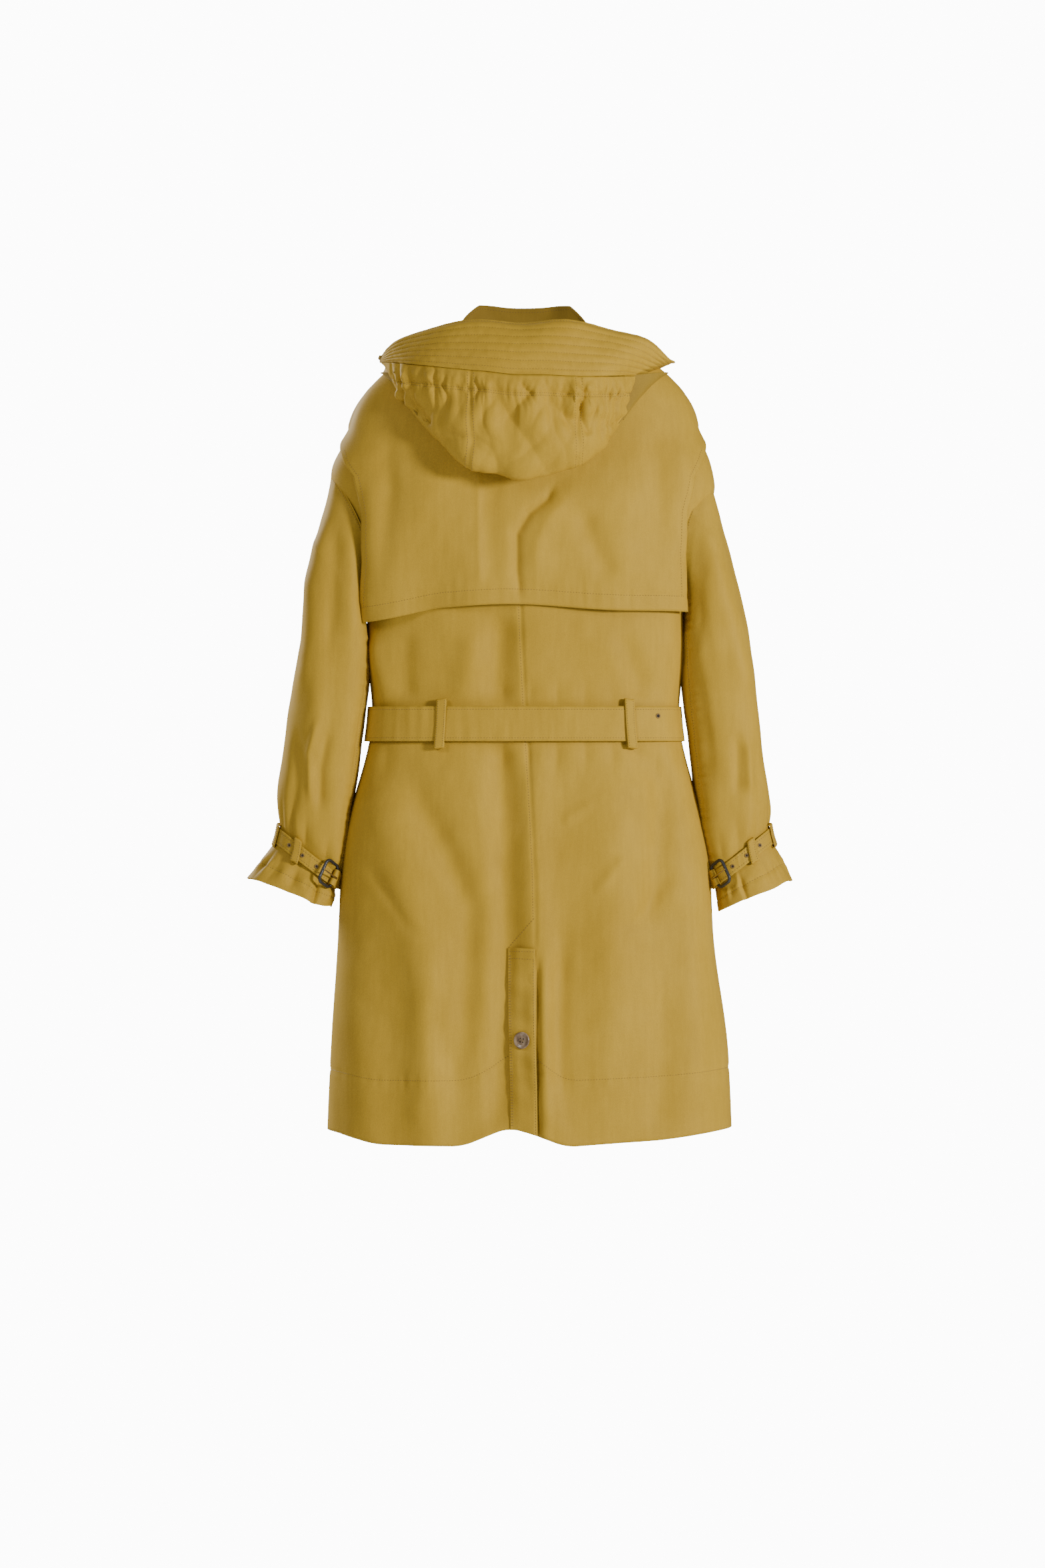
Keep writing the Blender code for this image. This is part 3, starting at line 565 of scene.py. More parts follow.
def fill_sides(points, x, z, share=1.0):
    """Makes the sides fuller: at the shoulder's crown, above and below the belt, and at the right of the hem."""
    crown = 0.0130 * bell(z, -0.072, 0.030)
    waist = 0.0095 * bell(z, -0.430, 0.060) + 0.0075 * bell(z, -0.655, 0.090) + 0.0050 * bell(z, -0.222, 0.022)
    right = np.where(x < 0, 0.0100 * ramp(-z, 0.78, 0.96) + 0.0015, -0.0015)
    right += np.where(x > 0, 0.0065 * bell(z, -0.198, 0.024) - 0.004 * bell(z, -0.140, 0.030),
                      -0.009 * bell(z, -0.150, 0.045))
    points[..., 0] += np.sign(x) * ramp(np.abs(x), 0.10, 0.20) * (waist + right) * share
    points[..., 2] += crown * ramp(np.abs(x), 0.08, 0.15)


BACK_CREASES = (
    (((0.030, -0.37), (0.036, -0.52), (0.026, -0.66), (0.022, -0.80), (0.034, -1.06)), 0.020, -0.011, 2.0, 0.06),
    (((0.066, -0.40), (0.080, -0.50)), 0.016, 0.004),
    (((-0.018, -0.56), (-0.012, -0.70), (-0.020, -0.84), (-0.030, -1.06)), 0.022, 0.006, 2.0, 0.1),
    (((0.160, -0.57), (0.112, -0.665), (0.070, -0.758), (0.074, -0.86), (0.082, -0.98)), 0.018, -0.007),
    (((0.185, -0.58), (0.150, -0.72), (0.120, -0.86), (0.125, -1.05)), 0.030, 0.009, 2.0, 0.15),
    (((0.092, -0.80), (0.110, -0.90), (0.084, -1.00)), 0.014, -0.004),
    (((-0.138, -0.545), (-0.172, -0.60), (-0.166, -0.70), (-0.158, -0.80)), 0.016, -0.008),
    (((-0.110, -0.56), (-0.120, -0.72), (-0.110, -0.90), (-0.100, -1.06)), 0.032, 0.008, 2.0, 0.15),
    (((-0.050, -0.78), (-0.043, -0.90), (-0.048, -1.02)), 0.012, -0.006),
    (((-0.170, -0.84), (-0.168, -0.94), (-0.162, -1.06)), 0.016, -0.005, 2.0, 0.2),
    (((-0.215, -0.66), (-0.210, -0.86), (-0.205, -1.06)), 0.020, 0.006),
    (((-0.046, -0.650), (-0.092, -0.622)), 0.006, 0.0022),
    (((-0.088, -0.742), (-0.130, -0.690)), 0.007, 0.0024),
    (((-0.10, -0.80), (-0.15, -0.77), (-0.19, -0.70)), 0.008, -0.0020),
    (((0.20, -0.70), (0.15, -0.78), (0.12, -0.80)), 0.008, -0.0020),
    (((0.19, -0.40), (0.176, -0.48), (0.180, -0.52)), 0.012, 0.006),
    (((0.150, -0.40), (0.150, -0.50)), 0.012, -0.004),
    (((-0.120, -0.40), (-0.145, -0.47), (-0.150, -0.50)), 0.014, -0.005),
)


def back_folds(x, z):
    """Folds of the back below the cape, outwards in metres."""
    d = creases(x, z, BACK_CREASES)
    below, above = ramp(-z, 0.545, 0.60), 1 - ramp(-z, 0.44, 0.50)
    pinch = bell(z, -0.548, 0.030) + 0.6 * bell(z, -0.495, 0.022)
    d += 0.0016 * pinch * crumple(x, 0.3 * z, 31, 0.060, lean=0.0, spread=0.12)
    d += below * 0.0010 * field(x, z, 5, 0.17) + above * 0.0008 * field(x, z, 9, 0.12)
    d += 0.00016 * field(x, z, 12, 0.040) + 0.0020 * ramp(-z, 0.75, 1.05) * field(x, 0.15 * z, 14, 0.11, lean=0.0,
                                                                                spread=0.2)
    return d


def seam_pucker(distance, run, depth=0.0011, ripple=0.00018, seed=3):
    """The groove along a seam or a line of stitching, and the ripple that stitching pulls beside it."""
    return -depth * np.exp(-(distance / 0.0026) ** 2) + ripple * np.exp(-(distance / 0.009) ** 2) * field(
        run, 0 * run, seed, 0.013, lean=0.0, spread=0.02)


def hem_pucker(x, v, seed):
    """The line where the hem is sewn, 78 mm above the edge of a skirt that runs 178 mm for each level."""
    return seam_pucker((10 - v) * 0.178 + 0 * x - 0.078, x, 0.0010, 0.00022, seed)


def make_back():
    columns, rows = 230, 400
    u = even_angles(-0.010, PI + 0.010, columns)[None, :]
    v = np.interp(np.linspace(0, 1, rows), (0, 0.06, 1), (0, 0.9, 10))[:, None]
    flat = body_surface(u, v)
    x, z = flat[..., 0], flat[..., 2]
    out = normals_of(flat)
    lift = back_folds(x, z) * ramp(-z, 0.20, 0.36) * ramp(np.abs(np.sin(u)) + 0 * v, 0.02, 0.45) * belt_calm(v)
    seam_x = 0.006 - 0.020 * ramp(-z, 0.30, 0.80)
    lift += seam_pucker(x - seam_x, z, 0.0016, 0.0002, 4) * ramp(-z, 0.30, 0.36) * (1 - ramp(-z, 0.80, 0.82))
    lift += hem_pucker(x, v, 5)
    lift -= 0.0050 * bell(x, -0.0165, 0.0032) * ramp(v, 8.66, 8.90)
    lift += 0.0030 * bell(x, -0.0270, 0.0080) * ramp(v, 8.60, 8.95)
    edge = ramp(np.abs(x), 0.17, 0.235)
    flare = 0.004 * ramp(-z, 0.72, 1.04)
    lap = 0.0007 * (1 - ramp(np.minimum(u, PI - u), -0.01, 0.12))
    points = flat + out * (lift + lap + flare * edge)[..., None]
    points[..., 2] += hem_shift(x, v)
    fill_sides(points, x, z)
    back = Cloth("coat_back", points, "coat", "back_panel_left", "back_panel_right", keep=outside_armhole(flat))
    row_of = lambda value: np.interp(value, v[:, 0], np.arange(rows))
    every = np.linspace(1.5, columns - 2.5, 600)
    dip = 0.11 * bell(sample(points[..., :1], rows - 1, every)[:, 0], 0.0, 0.035)
    back.sew(row_of(10 - 0.44 - dip), every)
    lines = np.linspace(row_of(6.0), row_of(8.44), 260)
    target = np.interp(lines, np.arange(rows), seam_x[:, columns // 2]) + 0.0028
    column = [np.interp(-t, -x[int(r)], np.arange(columns)) for r, t in zip(lines, target)]
    back.sew(lines, np.array(column))
    return back, v[:, 0], x


back_cloth, back_v, back_x = make_back()


def on_back(x, v, lift=0.0):
    """Points on the finished back at a distance from the centre line and a level."""
    rows = np.interp(v, back_v, np.arange(len(back_v)))
    rows, x = np.broadcast_arrays(np.asarray(rows, float), np.asarray(x, float))
    columns = np.empty(x.shape)
    for place in np.ndindex(x.shape):
        columns[place] = np.interp(-x[place], -back_x[int(round(rows[place]))], np.arange(back_x.shape[1]))
    away = sample(back_cloth.normal, rows, columns) * np.asarray(lift)[..., None]
    return sample(back_cloth.points, rows, columns) + away


# ---------------------------------------------------------------- fronts
FRONT_MIDDLE = 1.5 * PI
LAP = 0.0042


FRONT_CREASES = (
    (((0.17, -0.20), (0.10, -0.34), (0.06, -0.44)), 0.010, -0.0055, 1.6),
    (((-0.17, -0.22), (-0.11, -0.36), (-0.04, -0.46)), 0.010, -0.0055, 1.6),
    (((0.19, -0.24), (0.155, -0.36), (0.14, -0.47)), 0.014, 0.0060, 1.6),
    (((-0.19, -0.25), (-0.16, -0.36), (-0.15, -0.47)), 0.014, 0.0055, 1.6),
    (((0.125, -0.26), (0.135, -0.38), (0.115, -0.48)), 0.009, -0.0045, 1.6),
    (((-0.13, -0.27), (-0.125, -0.38), (-0.135, -0.48)), 0.009, -0.0045, 1.6),
    (((0.18, -0.58), (0.13, -0.78), (0.14, -1.06)), 0.022, -0.0095),
    (((0.115, -0.58), (0.095, -0.80), (0.090, -1.06)), 0.024, 0.0070),
    (((-0.17, -0.58), (-0.15, -0.80), (-0.12, -1.06)), 0.022, -0.0095),
    (((-0.105, -0.58), (-0.085, -0.78), (-0.070, -1.06)), 0.024, 0.0070),
    (((0.03, -0.60), (0.02, -0.80), (0.035, -1.06)), 0.018, -0.0050),
    (((0.05, -0.70), (0.10, -0.74), (0.17, -0.70)), 0.008, -0.0022, 1.6),
    (((-0.05, -0.84), (-0.12, -0.80), (-0.18, -0.72)), 0.008, 0.0024, 1.6),
)


def front_folds(x, z):
    d = 0.0060 * ramp(-z, 0.56, 0.95) * field(x, 0.12 * z, 41, 0.16, lean=0.0, spread=0.2)
    d += 0.0010 * field(x, z, 43, 0.15) + 0.0002 * field(x, z, 44, 0.045)
    pinch = bell(z, -0.560, 0.030) + 0.7 * bell(z, -0.484, 0.026)
    d += 0.0018 * pinch * crumple(x, 0.3 * z, 45, 0.060, lean=0.0, spread=0.12)
    return d + creases(x, z, FRONT_CREASES)


def make_front(name, start, end, node, lap):
    columns, rows = 150, 280
    u = even_angles(start, end, columns)[None, :]
    v = down_from(0, 10, rows)
    flat = body_surface(u, v)
    x, z = flat[..., 0], flat[..., 2]
    calm = ramp(np.abs(np.sin(u)) + 0 * v, 0.02, 0.45) * ramp(-z, 0.12, 0.22)
    lift = front_folds(x, z) * calm * belt_calm(v) + lap * (1 - ramp(u, FRONT_MIDDLE + 0.36, FRONT_MIDDLE + 0.56))
    lift = lift + hem_pucker(x, v, 46)
    flare = 0.004 * ramp(-z, 0.72, 1.04) * ramp(np.abs(x), 0.17, 0.235)
    points = flat + normals_of(flat) * (lift + flare)[..., None]
    points[..., 2] += hem_shift(x, v, True)
    fill_sides(points, x, z)
    front = Cloth(name, points, "coat", node, keep=outside_armhole(flat))
    row_of = lambda value: np.interp(value, v[:, 0], np.arange(rows))
    every = np.linspace(1.5, columns - 2.5, 420)
    front.sew(row_of(9.56), every)
    if lap:
        down = np.linspace(3, rows - 3, 700)
        for inset in (2.6, 5.0):
            front.sew(down, inset)
    return front, u[0], v[:, 0]


left_front = make_front("coat_front_left", FRONT_MIDDLE - 0.40, 2 * PI - 0.0009, "front_panel_left", LAP)
make_front("coat_front_right", PI + 0.0009, FRONT_MIDDLE + 0.30, "front_panel_right", 0.0)


def make_storm_flaps():
    rows, columns = 90, 60
    for side, name in ((1, "left"), (-1, "right")):
        s, t = across_from(0, 1, columns), down_from(0, 1, rows)
        v = 0.5 + 4.1 * t + 0.18 * np.sin(PI * s) * t
        outer = 2 * PI - np.interp(v, (0.5, 2.6, 3.3, 3.8, 4.3, 5.0), (0.02, 0.03, 0.30, 0.56, 0.66, 0.66))
        inner = FRONT_MIDDLE + 0.62 + 0 * v
        flat = body_surface(inner + (outer - inner) * s, v)
        x, z = flat[..., 0], flat[..., 2]
        lift = 0.0060 + 0.0008 * field(x, z, 51 + side, 0.09) + 0.0022 * t + 0.0002 * field(x, z, 54, 0.03)
        lift = lift + seam_pucker((1 - t) * 0.21 - 0.008, x, 0.0006, 0.0005, 55)
        sewn = ramp(s, 0.86, 1.0) * (1 - ramp(v, 2.6, 3.2))
        lift = lift * (1 - sewn) + 0.0010 * sewn
        points = flat + normals_of(flat) * lift[..., None]
        fill_sides(points, side * x, z, side * ramp(v, 4.6, 3.0))
        flap = Cloth(f"storm_flap_{name}_cloth", flipped(points, side), "coat", f"storm_flap_{name}")
        low, inner_column = rows - 1 - 3.4, (4.0 if side > 0 else columns - 5.0)
        flap.sew(low, np.linspace(2, columns - 3, 120))
        flap.sew(np.linspace(2, low, 160), inner_column)


make_storm_flaps()


def make_welts():
    for side, name in ((1, "left"), (-1, "right")):
        rows, columns = 70, 22
        s, t = across_from(-0.5, 0.5, columns), down_from(0, 1, rows)
        v = 7.45 + 0.90 * t
        u = FRONT_MIDDLE + 0.93 - 0.16 * (v - 7.45)
        flat = body_surface(u + s * 0.034 / pace(body_surface, u, v), v)
        fat = 0.0014 * (1 - (2 * np.abs(s)) ** 6) * (1 - np.abs(2 * t - 1) ** 30)
        lift = 0.0034 + fat + 0.0004 * field(flat[..., 0], flat[..., 2], 61, 0.03)
        points = flat + normals_of(flat) * lift[..., None]
        # The welt's inside faces take the darker cloth, which is painted shade.
        welt = Cloth(f"pocket_welt_{name}_cloth", flipped(points, side), "coat", f"pocket_welt_{name}",
                     look=(TRIM, INSIDE_SHADE))
        for inset in (2.2, columns - 3.2):
            welt.sew(np.linspace(1.5, rows - 2.5, 90), inset)


make_welts()


# ---------------------------------------------------------------- collar and hanging loop
def make_collar():
    columns, rows = 200, 30
    u = np.linspace(0, 2 * PI, columns + 1)[None, :-1]
    t = down_from(0, 1, rows)
    foot = body_surface(u, 0 * t)
    front = ramp(-np.sin(u), -0.05, 0.80)
    back = ramp(np.sin(u), 0.1, 0.9)
    peak = np.clip((0.120 - 1.28 * np.abs(foot[..., 0])) / 0.040, 0, 1)
    top = -0.020 + 0.0440 * front * (0.25 + 0.75 * peak) + 0.010 * back
    spread = 1 + 0.05 * t - 0.17 * t * ramp(-np.sin(u), 0.5, 1.0)
    x, y = foot[..., 0] * spread, foot[..., 1] * (1 + 0.06 * t)
    y = y - 0.004 * t * front * np.abs(np.cos(u)) + 0.0015 * t * field(u * 0.08, t * 0.05, 71, 0.05)
    x = x + 0.0012 * t * field(u * 0.08, t * 0.06, 72, 0.06)
    z = foot[..., 2] + 0.002 + (top - foot[..., 2] - 0.002) * t + 0.0018 * t * field(u * 0.08, 0 * t, 73, 0.09)
    points = np.stack((x, y, z), -1)[:, ::-1]
    # The neckband's cloth is darker on both faces: painted shade.
    band = Cloth("neckband", points, "coat", "collar", look=(NECK_SHADE, NECK_SHADE), slot="facing", thick=0.0022, closed=True,
                 side=1.0)
    every = np.linspace(0, columns - 1.5, 260)
    for row in (rows - 3.0, rows - 12.0, rows - 21.0):
        stitch("coat", sample(points, row, every), -sample(band.normal, row, every))
    turn = np.linspace(0, PI, 24)
    arc = np.stack((0.026 * np.cos(turn), 0.0405 - 0.004 * np.sin(turn), -0.021 - 0.016 * np.sin(turn)), -1)
    across = np.array((0.0, 0.35, 0.94)) * 0.0028
    tape = np.stack((arc - across, arc, arc + across))
    Cloth("hanging_loop", tape, "coat", "hang_loop", look=(TRIM,), slot="facing", thick=0.0012)


make_collar()


# ---------------------------------------------------------------- back cape
CAPE_TOP, CAPE_HEM = 0.55, 6.12
CAPE_EDGE = ((0.55, 0.8, 2.6, 3.1, 3.5, 4.0, 4.6, 5.3, 6.12), (0.03, 0.03, 0.03, 0.12, 0.34, 0.56, 0.58, 0.50, 0.30))


CAPE_CREASES = (
    (((-0.040, -0.215), (-0.028, -0.238), (-0.006, -0.256), (0.010, -0.285), (0.010, -0.335),
      (0.006, -0.375)), 0.0062, -0.0058, 1.4, 0.12),
    (((-0.060, -0.232), (-0.030, -0.262), (-0.016, -0.295), (-0.014, -0.36)), 0.014, 0.0046, 1.6),
    (((0.058, -0.190), (0.0585, -0.27), (0.056, -0.360)), 0.0050, 0.0018, 1.6, 0.15),
    (((0.045, -0.200), (0.046, -0.28), (0.040, -0.370)), 0.016, -0.0032),
    (((-0.070, -0.245), (-0.084, -0.290), (-0.112, -0.345)), 0.014, -0.0044),
    (((-0.12, -0.20), (-0.13, -0.28), (-0.14, -0.37)), 0.030, 0.0048),
    (((0.13, -0.17), (0.12, -0.27), (0.125, -0.38)), 0.032, 0.0044),
    (((0.178, -0.13), (0.170, -0.22), (0.178, -0.33)), 0.012, -0.0036),
    (((0.196, -0.20), (0.186, -0.30), (0.190, -0.40)), 0.012, 0.0030),
    (((-0.176, -0.12), (-0.168, -0.20), (-0.172, -0.30)), 0.014, -0.0040),
    (((-0.198, -0.10), (-0.206, -0.16), (-0.196, -0.24)), 0.012, 0.0028),
)


def cape_folds(x, z):
    return creases(x, z, CAPE_CREASES) + 0.0006 * field(x, z, 81, 0.13) + 0.00012 * field(x, z, 82, 0.035)


def make_cape():
    columns, rows = 190, 190
    s, t = across_from(0, 1, columns), down_from(0, 1, rows)
    v = CAPE_TOP + (CAPE_HEM - CAPE_TOP) * t
    edge = np.interp(v, *CAPE_EDGE)
    fine = even_angles(0.02, PI - 0.02, 1500, 4.0)
    low, high = np.interp(edge, fine, np.arange(1500)), np.interp(PI - edge, fine, np.arange(1500))
    u = np.interp((low + (high - low) * s).ravel(), np.arange(1500), fine).reshape(rows, columns)
    v = v + 0 * s
    flat = body_surface(u, v)
    x, z = flat[..., 0], flat[..., 2]
    corner = ramp(np.abs(x), 0.13, 0.20) * ramp(t, 0.55, 1.0)
    lift = 0.0052 + cape_folds(x, z) * ramp(-z, 0.11, 0.20) * ramp(np.abs(np.sin(u)), 0.02, 0.35)
    lift = lift + 0.0040 * t ** 2 + 0.0070 * corner + 0.0022 * ramp(t, 0.6, 1.0) * field(x, 0 * z, 83, 0.12, lean=0.0,
                                                                                   spread=0.05)
    lift = lift + seam_pucker((1 - t) * 0.30 - 0.0085, x, 0.0009, 0.00010, 84)
    sewn = ramp(np.abs(s - 0.5), 0.44, 0.50) * (1 - ramp(v, 2.6, 3.2))
    lift = lift * (1 - sewn) + 0.0024 * sewn
    points = flat + normals_of(flat) * lift[..., None]
    points[..., 0] *= 1 + 0.020 * corner
    fill_sides(points, x, z, ramp(v, 4.6, 3.0))
    points[..., 2] += ramp(t, 0.6, 1.0) * (0.001 + 0.009 * bell(x, 0.02, 0.10) - 0.013 * ramp(x, 0.10, 0.20)
                                           + 0.002 * ramp(-x, 0.10, 0.20))
    fold_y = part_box("back_cape_flap")[1][1]
    key = ("coat", "cape_flap", (0, fold_y, -0.215), (0, fold_y, -0.285))
    cape = Cloth("back_cape", points, key, "back_cape_top", "back_cape_flap")
    hem = rows - 1 - 0.0085 / 0.30 * (rows - 1)
    cape.sew(hem, np.linspace(2, columns - 3, 480))
    for column in (3.5, columns - 4.5):
        cape.sew(np.linspace(rows * 0.5, hem, 130), column)


make_cape()


# ---------------------------------------------------------------- places on surfaces
def side_angle(y, v):
    depth = np.where(y > 0, back_line(v)[..., 0], front_line(v)[..., 0])
    return np.sign(y) * np.arcsin(np.clip(np.abs(y) / depth, 0, 1) ** (1 / ROUNDNESS))


def raised(surface, u, v, offset):
    """A point moved away from a surface, and the direction away from it."""
    u, v = np.broadcast_arrays(np.asarray(u, float), np.asarray(v, float))
    e = 1e-3
    out = np.cross(surface(u, v + e) - surface(u, v - e), surface(u + e, v) - surface(u - e, v))
    out /= np.maximum(np.linalg.norm(out, axis=-1, keepdims=True), 1e-12)
    return surface(u, v) + out * np.asarray(offset)[..., None], out


def armhole_point(u, lift):
    y, z = ARMHOLE_DEPTH * np.sin(u), ARMHOLE_Z + ARMHOLE_HALF * np.cos(u)
    low, high = np.full_like(y, 2.0), np.full_like(y, 8.0)
    for _ in range(26):
        middle = (low + high) / 2
        above = body_surface(side_angle(y, middle), middle)[..., 2] > z
        low, high = np.where(above, middle, low), np.where(above, high, middle)
    return raised(body_surface, side_angle(y, low), low, lift)[0]


def sleeve_surface(u, v):
    """A point of the left sleeve. u runs from its outer side over the back to its inner side and the front."""
    u, v = np.broadcast_arrays(np.asarray(u, float), np.asarray(v, float))
    outer, inner, depth = outer_line(v), inner_line(v), depth_line(v)[..., 0]
    across, back = power(np.cos(u), SLEEVE_ROUNDNESS), power(np.sin(u), SLEEVE_ROUNDNESS)
    tube = np.stack(((outer[..., 0] + inner[..., 0]) / 2 + (outer[..., 0] - inner[..., 0]) / 2 * across, depth * back,
                     (outer[..., 1] + inner[..., 1]) / 2 + (outer[..., 1] - inner[..., 1]) / 2 * across), -1)
    share = np.clip(v, 0, 1)
    share = (share ** 2 * (3 - 2 * share))[..., None]
    if share.min() >= 1:
        return tube
    start = armhole_point(u, np.full(u.shape, 0.0030))
    return start * (1 - share) + tube * share


def reach(surface, u, v, along):
    """The u that is a distance round the surface."""
    for _ in range(12):
        u = u + along / 12 / float(pace(surface, u, v))
    return u


def frame_at(origin, along, outward):
    """A matrix with X along a strap, Z away from the cloth, and Y across the strap."""
    z = Vector(outward).normalized()
    x = Vector(along)
    x = (x - z * x.dot(z)).normalized()
    return Matrix.Translation(Vector(origin)) @ Matrix((x, z.cross(x), z)).transposed().to_4x4()


def place_on(surface, u, v, offset, side=1):
    e = 1e-2
    here, out = raised(surface, u, v, offset)
    flip = np.array((side, 1, 1))
    return frame_at(here * flip, (surface(u + e, v) - surface(u - e, v)) * flip, out * flip)


def turned(place, points):
    """Points of a piece's own frame, in the coat's."""
    m = np.array(place)
    return np.asarray(points, float) @ m[:3, :3].T + m[:3, 3]


# ---------------------------------------------------------------- straps, carriers, eyelets, buckles
def make_strap(name, node, body, surface, start, end, level, width, thick, offset_at, side=1, wobble=0.0005):
    columns, rows = (620, 15) if surface is body_surface else (300, 13)
    u = across_from(start, end, columns)
    s = down_from(-0.5, 0.5, rows)
    step, around = pace(surface, u, level + 0 * u, 0.0, 1e-3), pace(surface, u, level + 0 * u)
    to_end = (end - u) * around / width
    point = np.sqrt(np.clip(1 - (1 - np.clip(to_end / 0.42, 0, 1)) ** 2, 0.02, 1)) * 0.999
    v = level + s * point * width / step
    run = (u - start) * around
    edge = 1 - np.abs(2 * s) ** 8
    lift = offset_at(u) + 0 * s + 0.0004 * edge
    lift = lift + wobble * field(run, s * width, 121, 0.07) * 0.6 + wobble * 0.06 * field(run, s * width, 122, 0.016)
    line = np.abs(np.abs(s) - 0.5) * width - 0.0042
    lift = lift - 0.00035 * np.exp(-(line / 0.0011) ** 2)
    points = flipped(raised(surface, u + 0 * s, v, lift)[0], side)
    strap = Cloth(name, points, body, node, look=(TRIM, TRIM), thick=thick)
    inset = 0.0042 / width * (rows - 1)
    every = np.linspace(2, columns - 4, int(columns * 1.2))
    for row in (inset, rows - 1 - inset):
        strap.sew(row, every)


def make_carrier(name, node, body, surface, u, level, width, height, wall, low, high, side=1):
    """A band right round a strap."""
    turn = np.linspace(0, 2 * PI, 49)[:-1]
    down = height / 2 * power(np.cos(turn), 0.16)
    away = (low + high) / 2 + (high - low) / 2 * power(np.sin(turn), 0.45)
    rows = []
    around, step = float(pace(surface, u, level)), float(pace(surface, u, level, 0.0, 1e-3))
    for share in np.linspace(-0.5, 0.5, 9):
        puff = 0.00035 * (1 - abs(2 * share) ** 6)
        soft = 0.0005 * math.sin(share * 5 + u * 3)
        spot_u = np.full(turn.shape, u + share * width / around)
        rows.append(raised(surface, spot_u, level + (down + soft) / step, away + puff * np.sign(away - low))[0])
    points = np.array(rows)
    if side < 0:
        points = points * np.array((-1, 1, 1))
    points = points[:, ::-1]
    middle = points.mean((0, 1))
    if ((normals_of(points, True) * (points - middle)).sum(-1)).mean() < 0:
        points = points[::-1]
    normal = Cloth(name, points, body, node, look=(TRIM, TRIM), thick=wall, closed=True, side=1.0).normal
    outer = np.where((raised(surface, u, level, 0.0)[1] * np.array((side, 1, 1)) * normal[4]).sum(-1) > 0.8)[0]
    if len(outer) > 4:
        order = np.sort(outer)
        gap = np.argmax(np.diff(order)) if np.diff(order).max() > 1 else -1
        order = np.concatenate((order[gap + 1:], order[:gap + 1])) if gap >= 0 else order
        for row in (1.2, 6.8):
            grid, across = points[:, order], normal[:, order]
            stitch(body, sample(grid, row, np.linspace(0, len(order) - 1.01, 30)) + across[4].mean(0) * wall,
                   sample(across, row, np.linspace(0, len(order) - 1.01, 30)), pitch=0.003, length=0.0022)


def ring_mesh(name, body, place, radius, tube, material, sides=10, count=28):
    a, b = np.linspace(0, 2 * PI, count + 1)[:-1, None], np.linspace(0, 2 * PI, sides + 1)[None, :-1]
    wide = radius + tube * np.cos(b) * (1 + 0.10 * np.sin(a * 14))
    points = np.stack((wide * np.cos(a), wide * np.sin(a), tube * 0.8 * np.sin(b) + 0 * a), -1).reshape(-1, 3)
    index = np.arange(count * sides).reshape(count, sides)
    right, up = np.roll(index, -1, 0), np.roll(index, -1, 1)
    faces = np.stack((index, right, np.roll(right, -1, 1), up), -1).reshape(-1, 4)
    obj = solid_object(name, turned(place, points), faces, material)
    show(obj, body, "gabardine")


def disc(name, body, place, radius, material, slot="gabardine", bulge=0.0002):
    a = np.linspace(0, 2 * PI, 19)[:-1]
    rim = np.stack((radius * np.cos(a), radius * np.sin(a), 0 * a), -1)
    points = np.concatenate((((0, 0, bulge),), rim))
    faces = [(0, 1 + k, 1 + (k + 1) % 18) for k in range(18)]
    show(solid_object(name, turned(place, points), faces, material), body, slot)


def make_eyelet(name, body, surface, u, level, offset, side=1, radius=0.0027):
    place = place_on(surface, u, level, offset, side)
    ring_mesh(name, body, place, radius, 0.0008, THREAD)
    # A dark disc of painted shade fills the eyelet's hole.
    disc(name + "_hole", body, place @ Matrix.Translation((0, 0, 0.0001)), radius * 0.86, HOLE_SHADE)


def sweep(path, radius, sides=12, closed=True):
    """A tube along points, in the plane where it lies."""
    path = np.asarray(path, float)
    ahead = np.roll(path, -1, 0) - np.roll(path, 1, 0)
    if not closed:
        ahead[0], ahead[-1] = path[1] - path[0], path[-1] - path[-2]
    ahead /= np.linalg.norm(ahead, axis=1, keepdims=True)
    up = np.array((0.0, 1.0, 0.0)) if abs(ahead[:, 1]).max() < 0.5 else np.array((0.0, 0.0, 1.0))
    aside = np.cross(up, ahead)
    aside /= np.linalg.norm(aside, axis=1, keepdims=True)
    top = np.cross(ahead, aside)
    b = np.linspace(0, 2 * PI, sides + 1)[:-1]
    radius = np.broadcast_to(radius, (len(path),))[:, None, None]
    points = path[:, None] + radius * (np.cos(b)[None, :, None] * aside[:, None]
                                       + np.sin(b)[None, :, None] * top[:, None])
    index = np.arange(len(path) * sides).reshape(len(path), sides)
    last = len(path) if closed else len(path) - 1
    right, here = np.roll(index, -1, 0)[:last], index[:last]
    corners = np.stack((here, right, np.roll(right, -1, 1), np.roll(here, -1, 1)), -1)
    faces = [tuple(f) for f in corners.reshape(-1, 4)]
    if not closed:
        faces += [tuple(index[0]), tuple(index[-1][::-1])]
    return points.reshape(-1, 3), faces


def bar_height(bar, prong):
    """How far a buckle's bar stands off its strap: the bar's radius, the prong's thickness and two gaps."""
    return bar + 0.0004 + 2 * prong + 0.0006


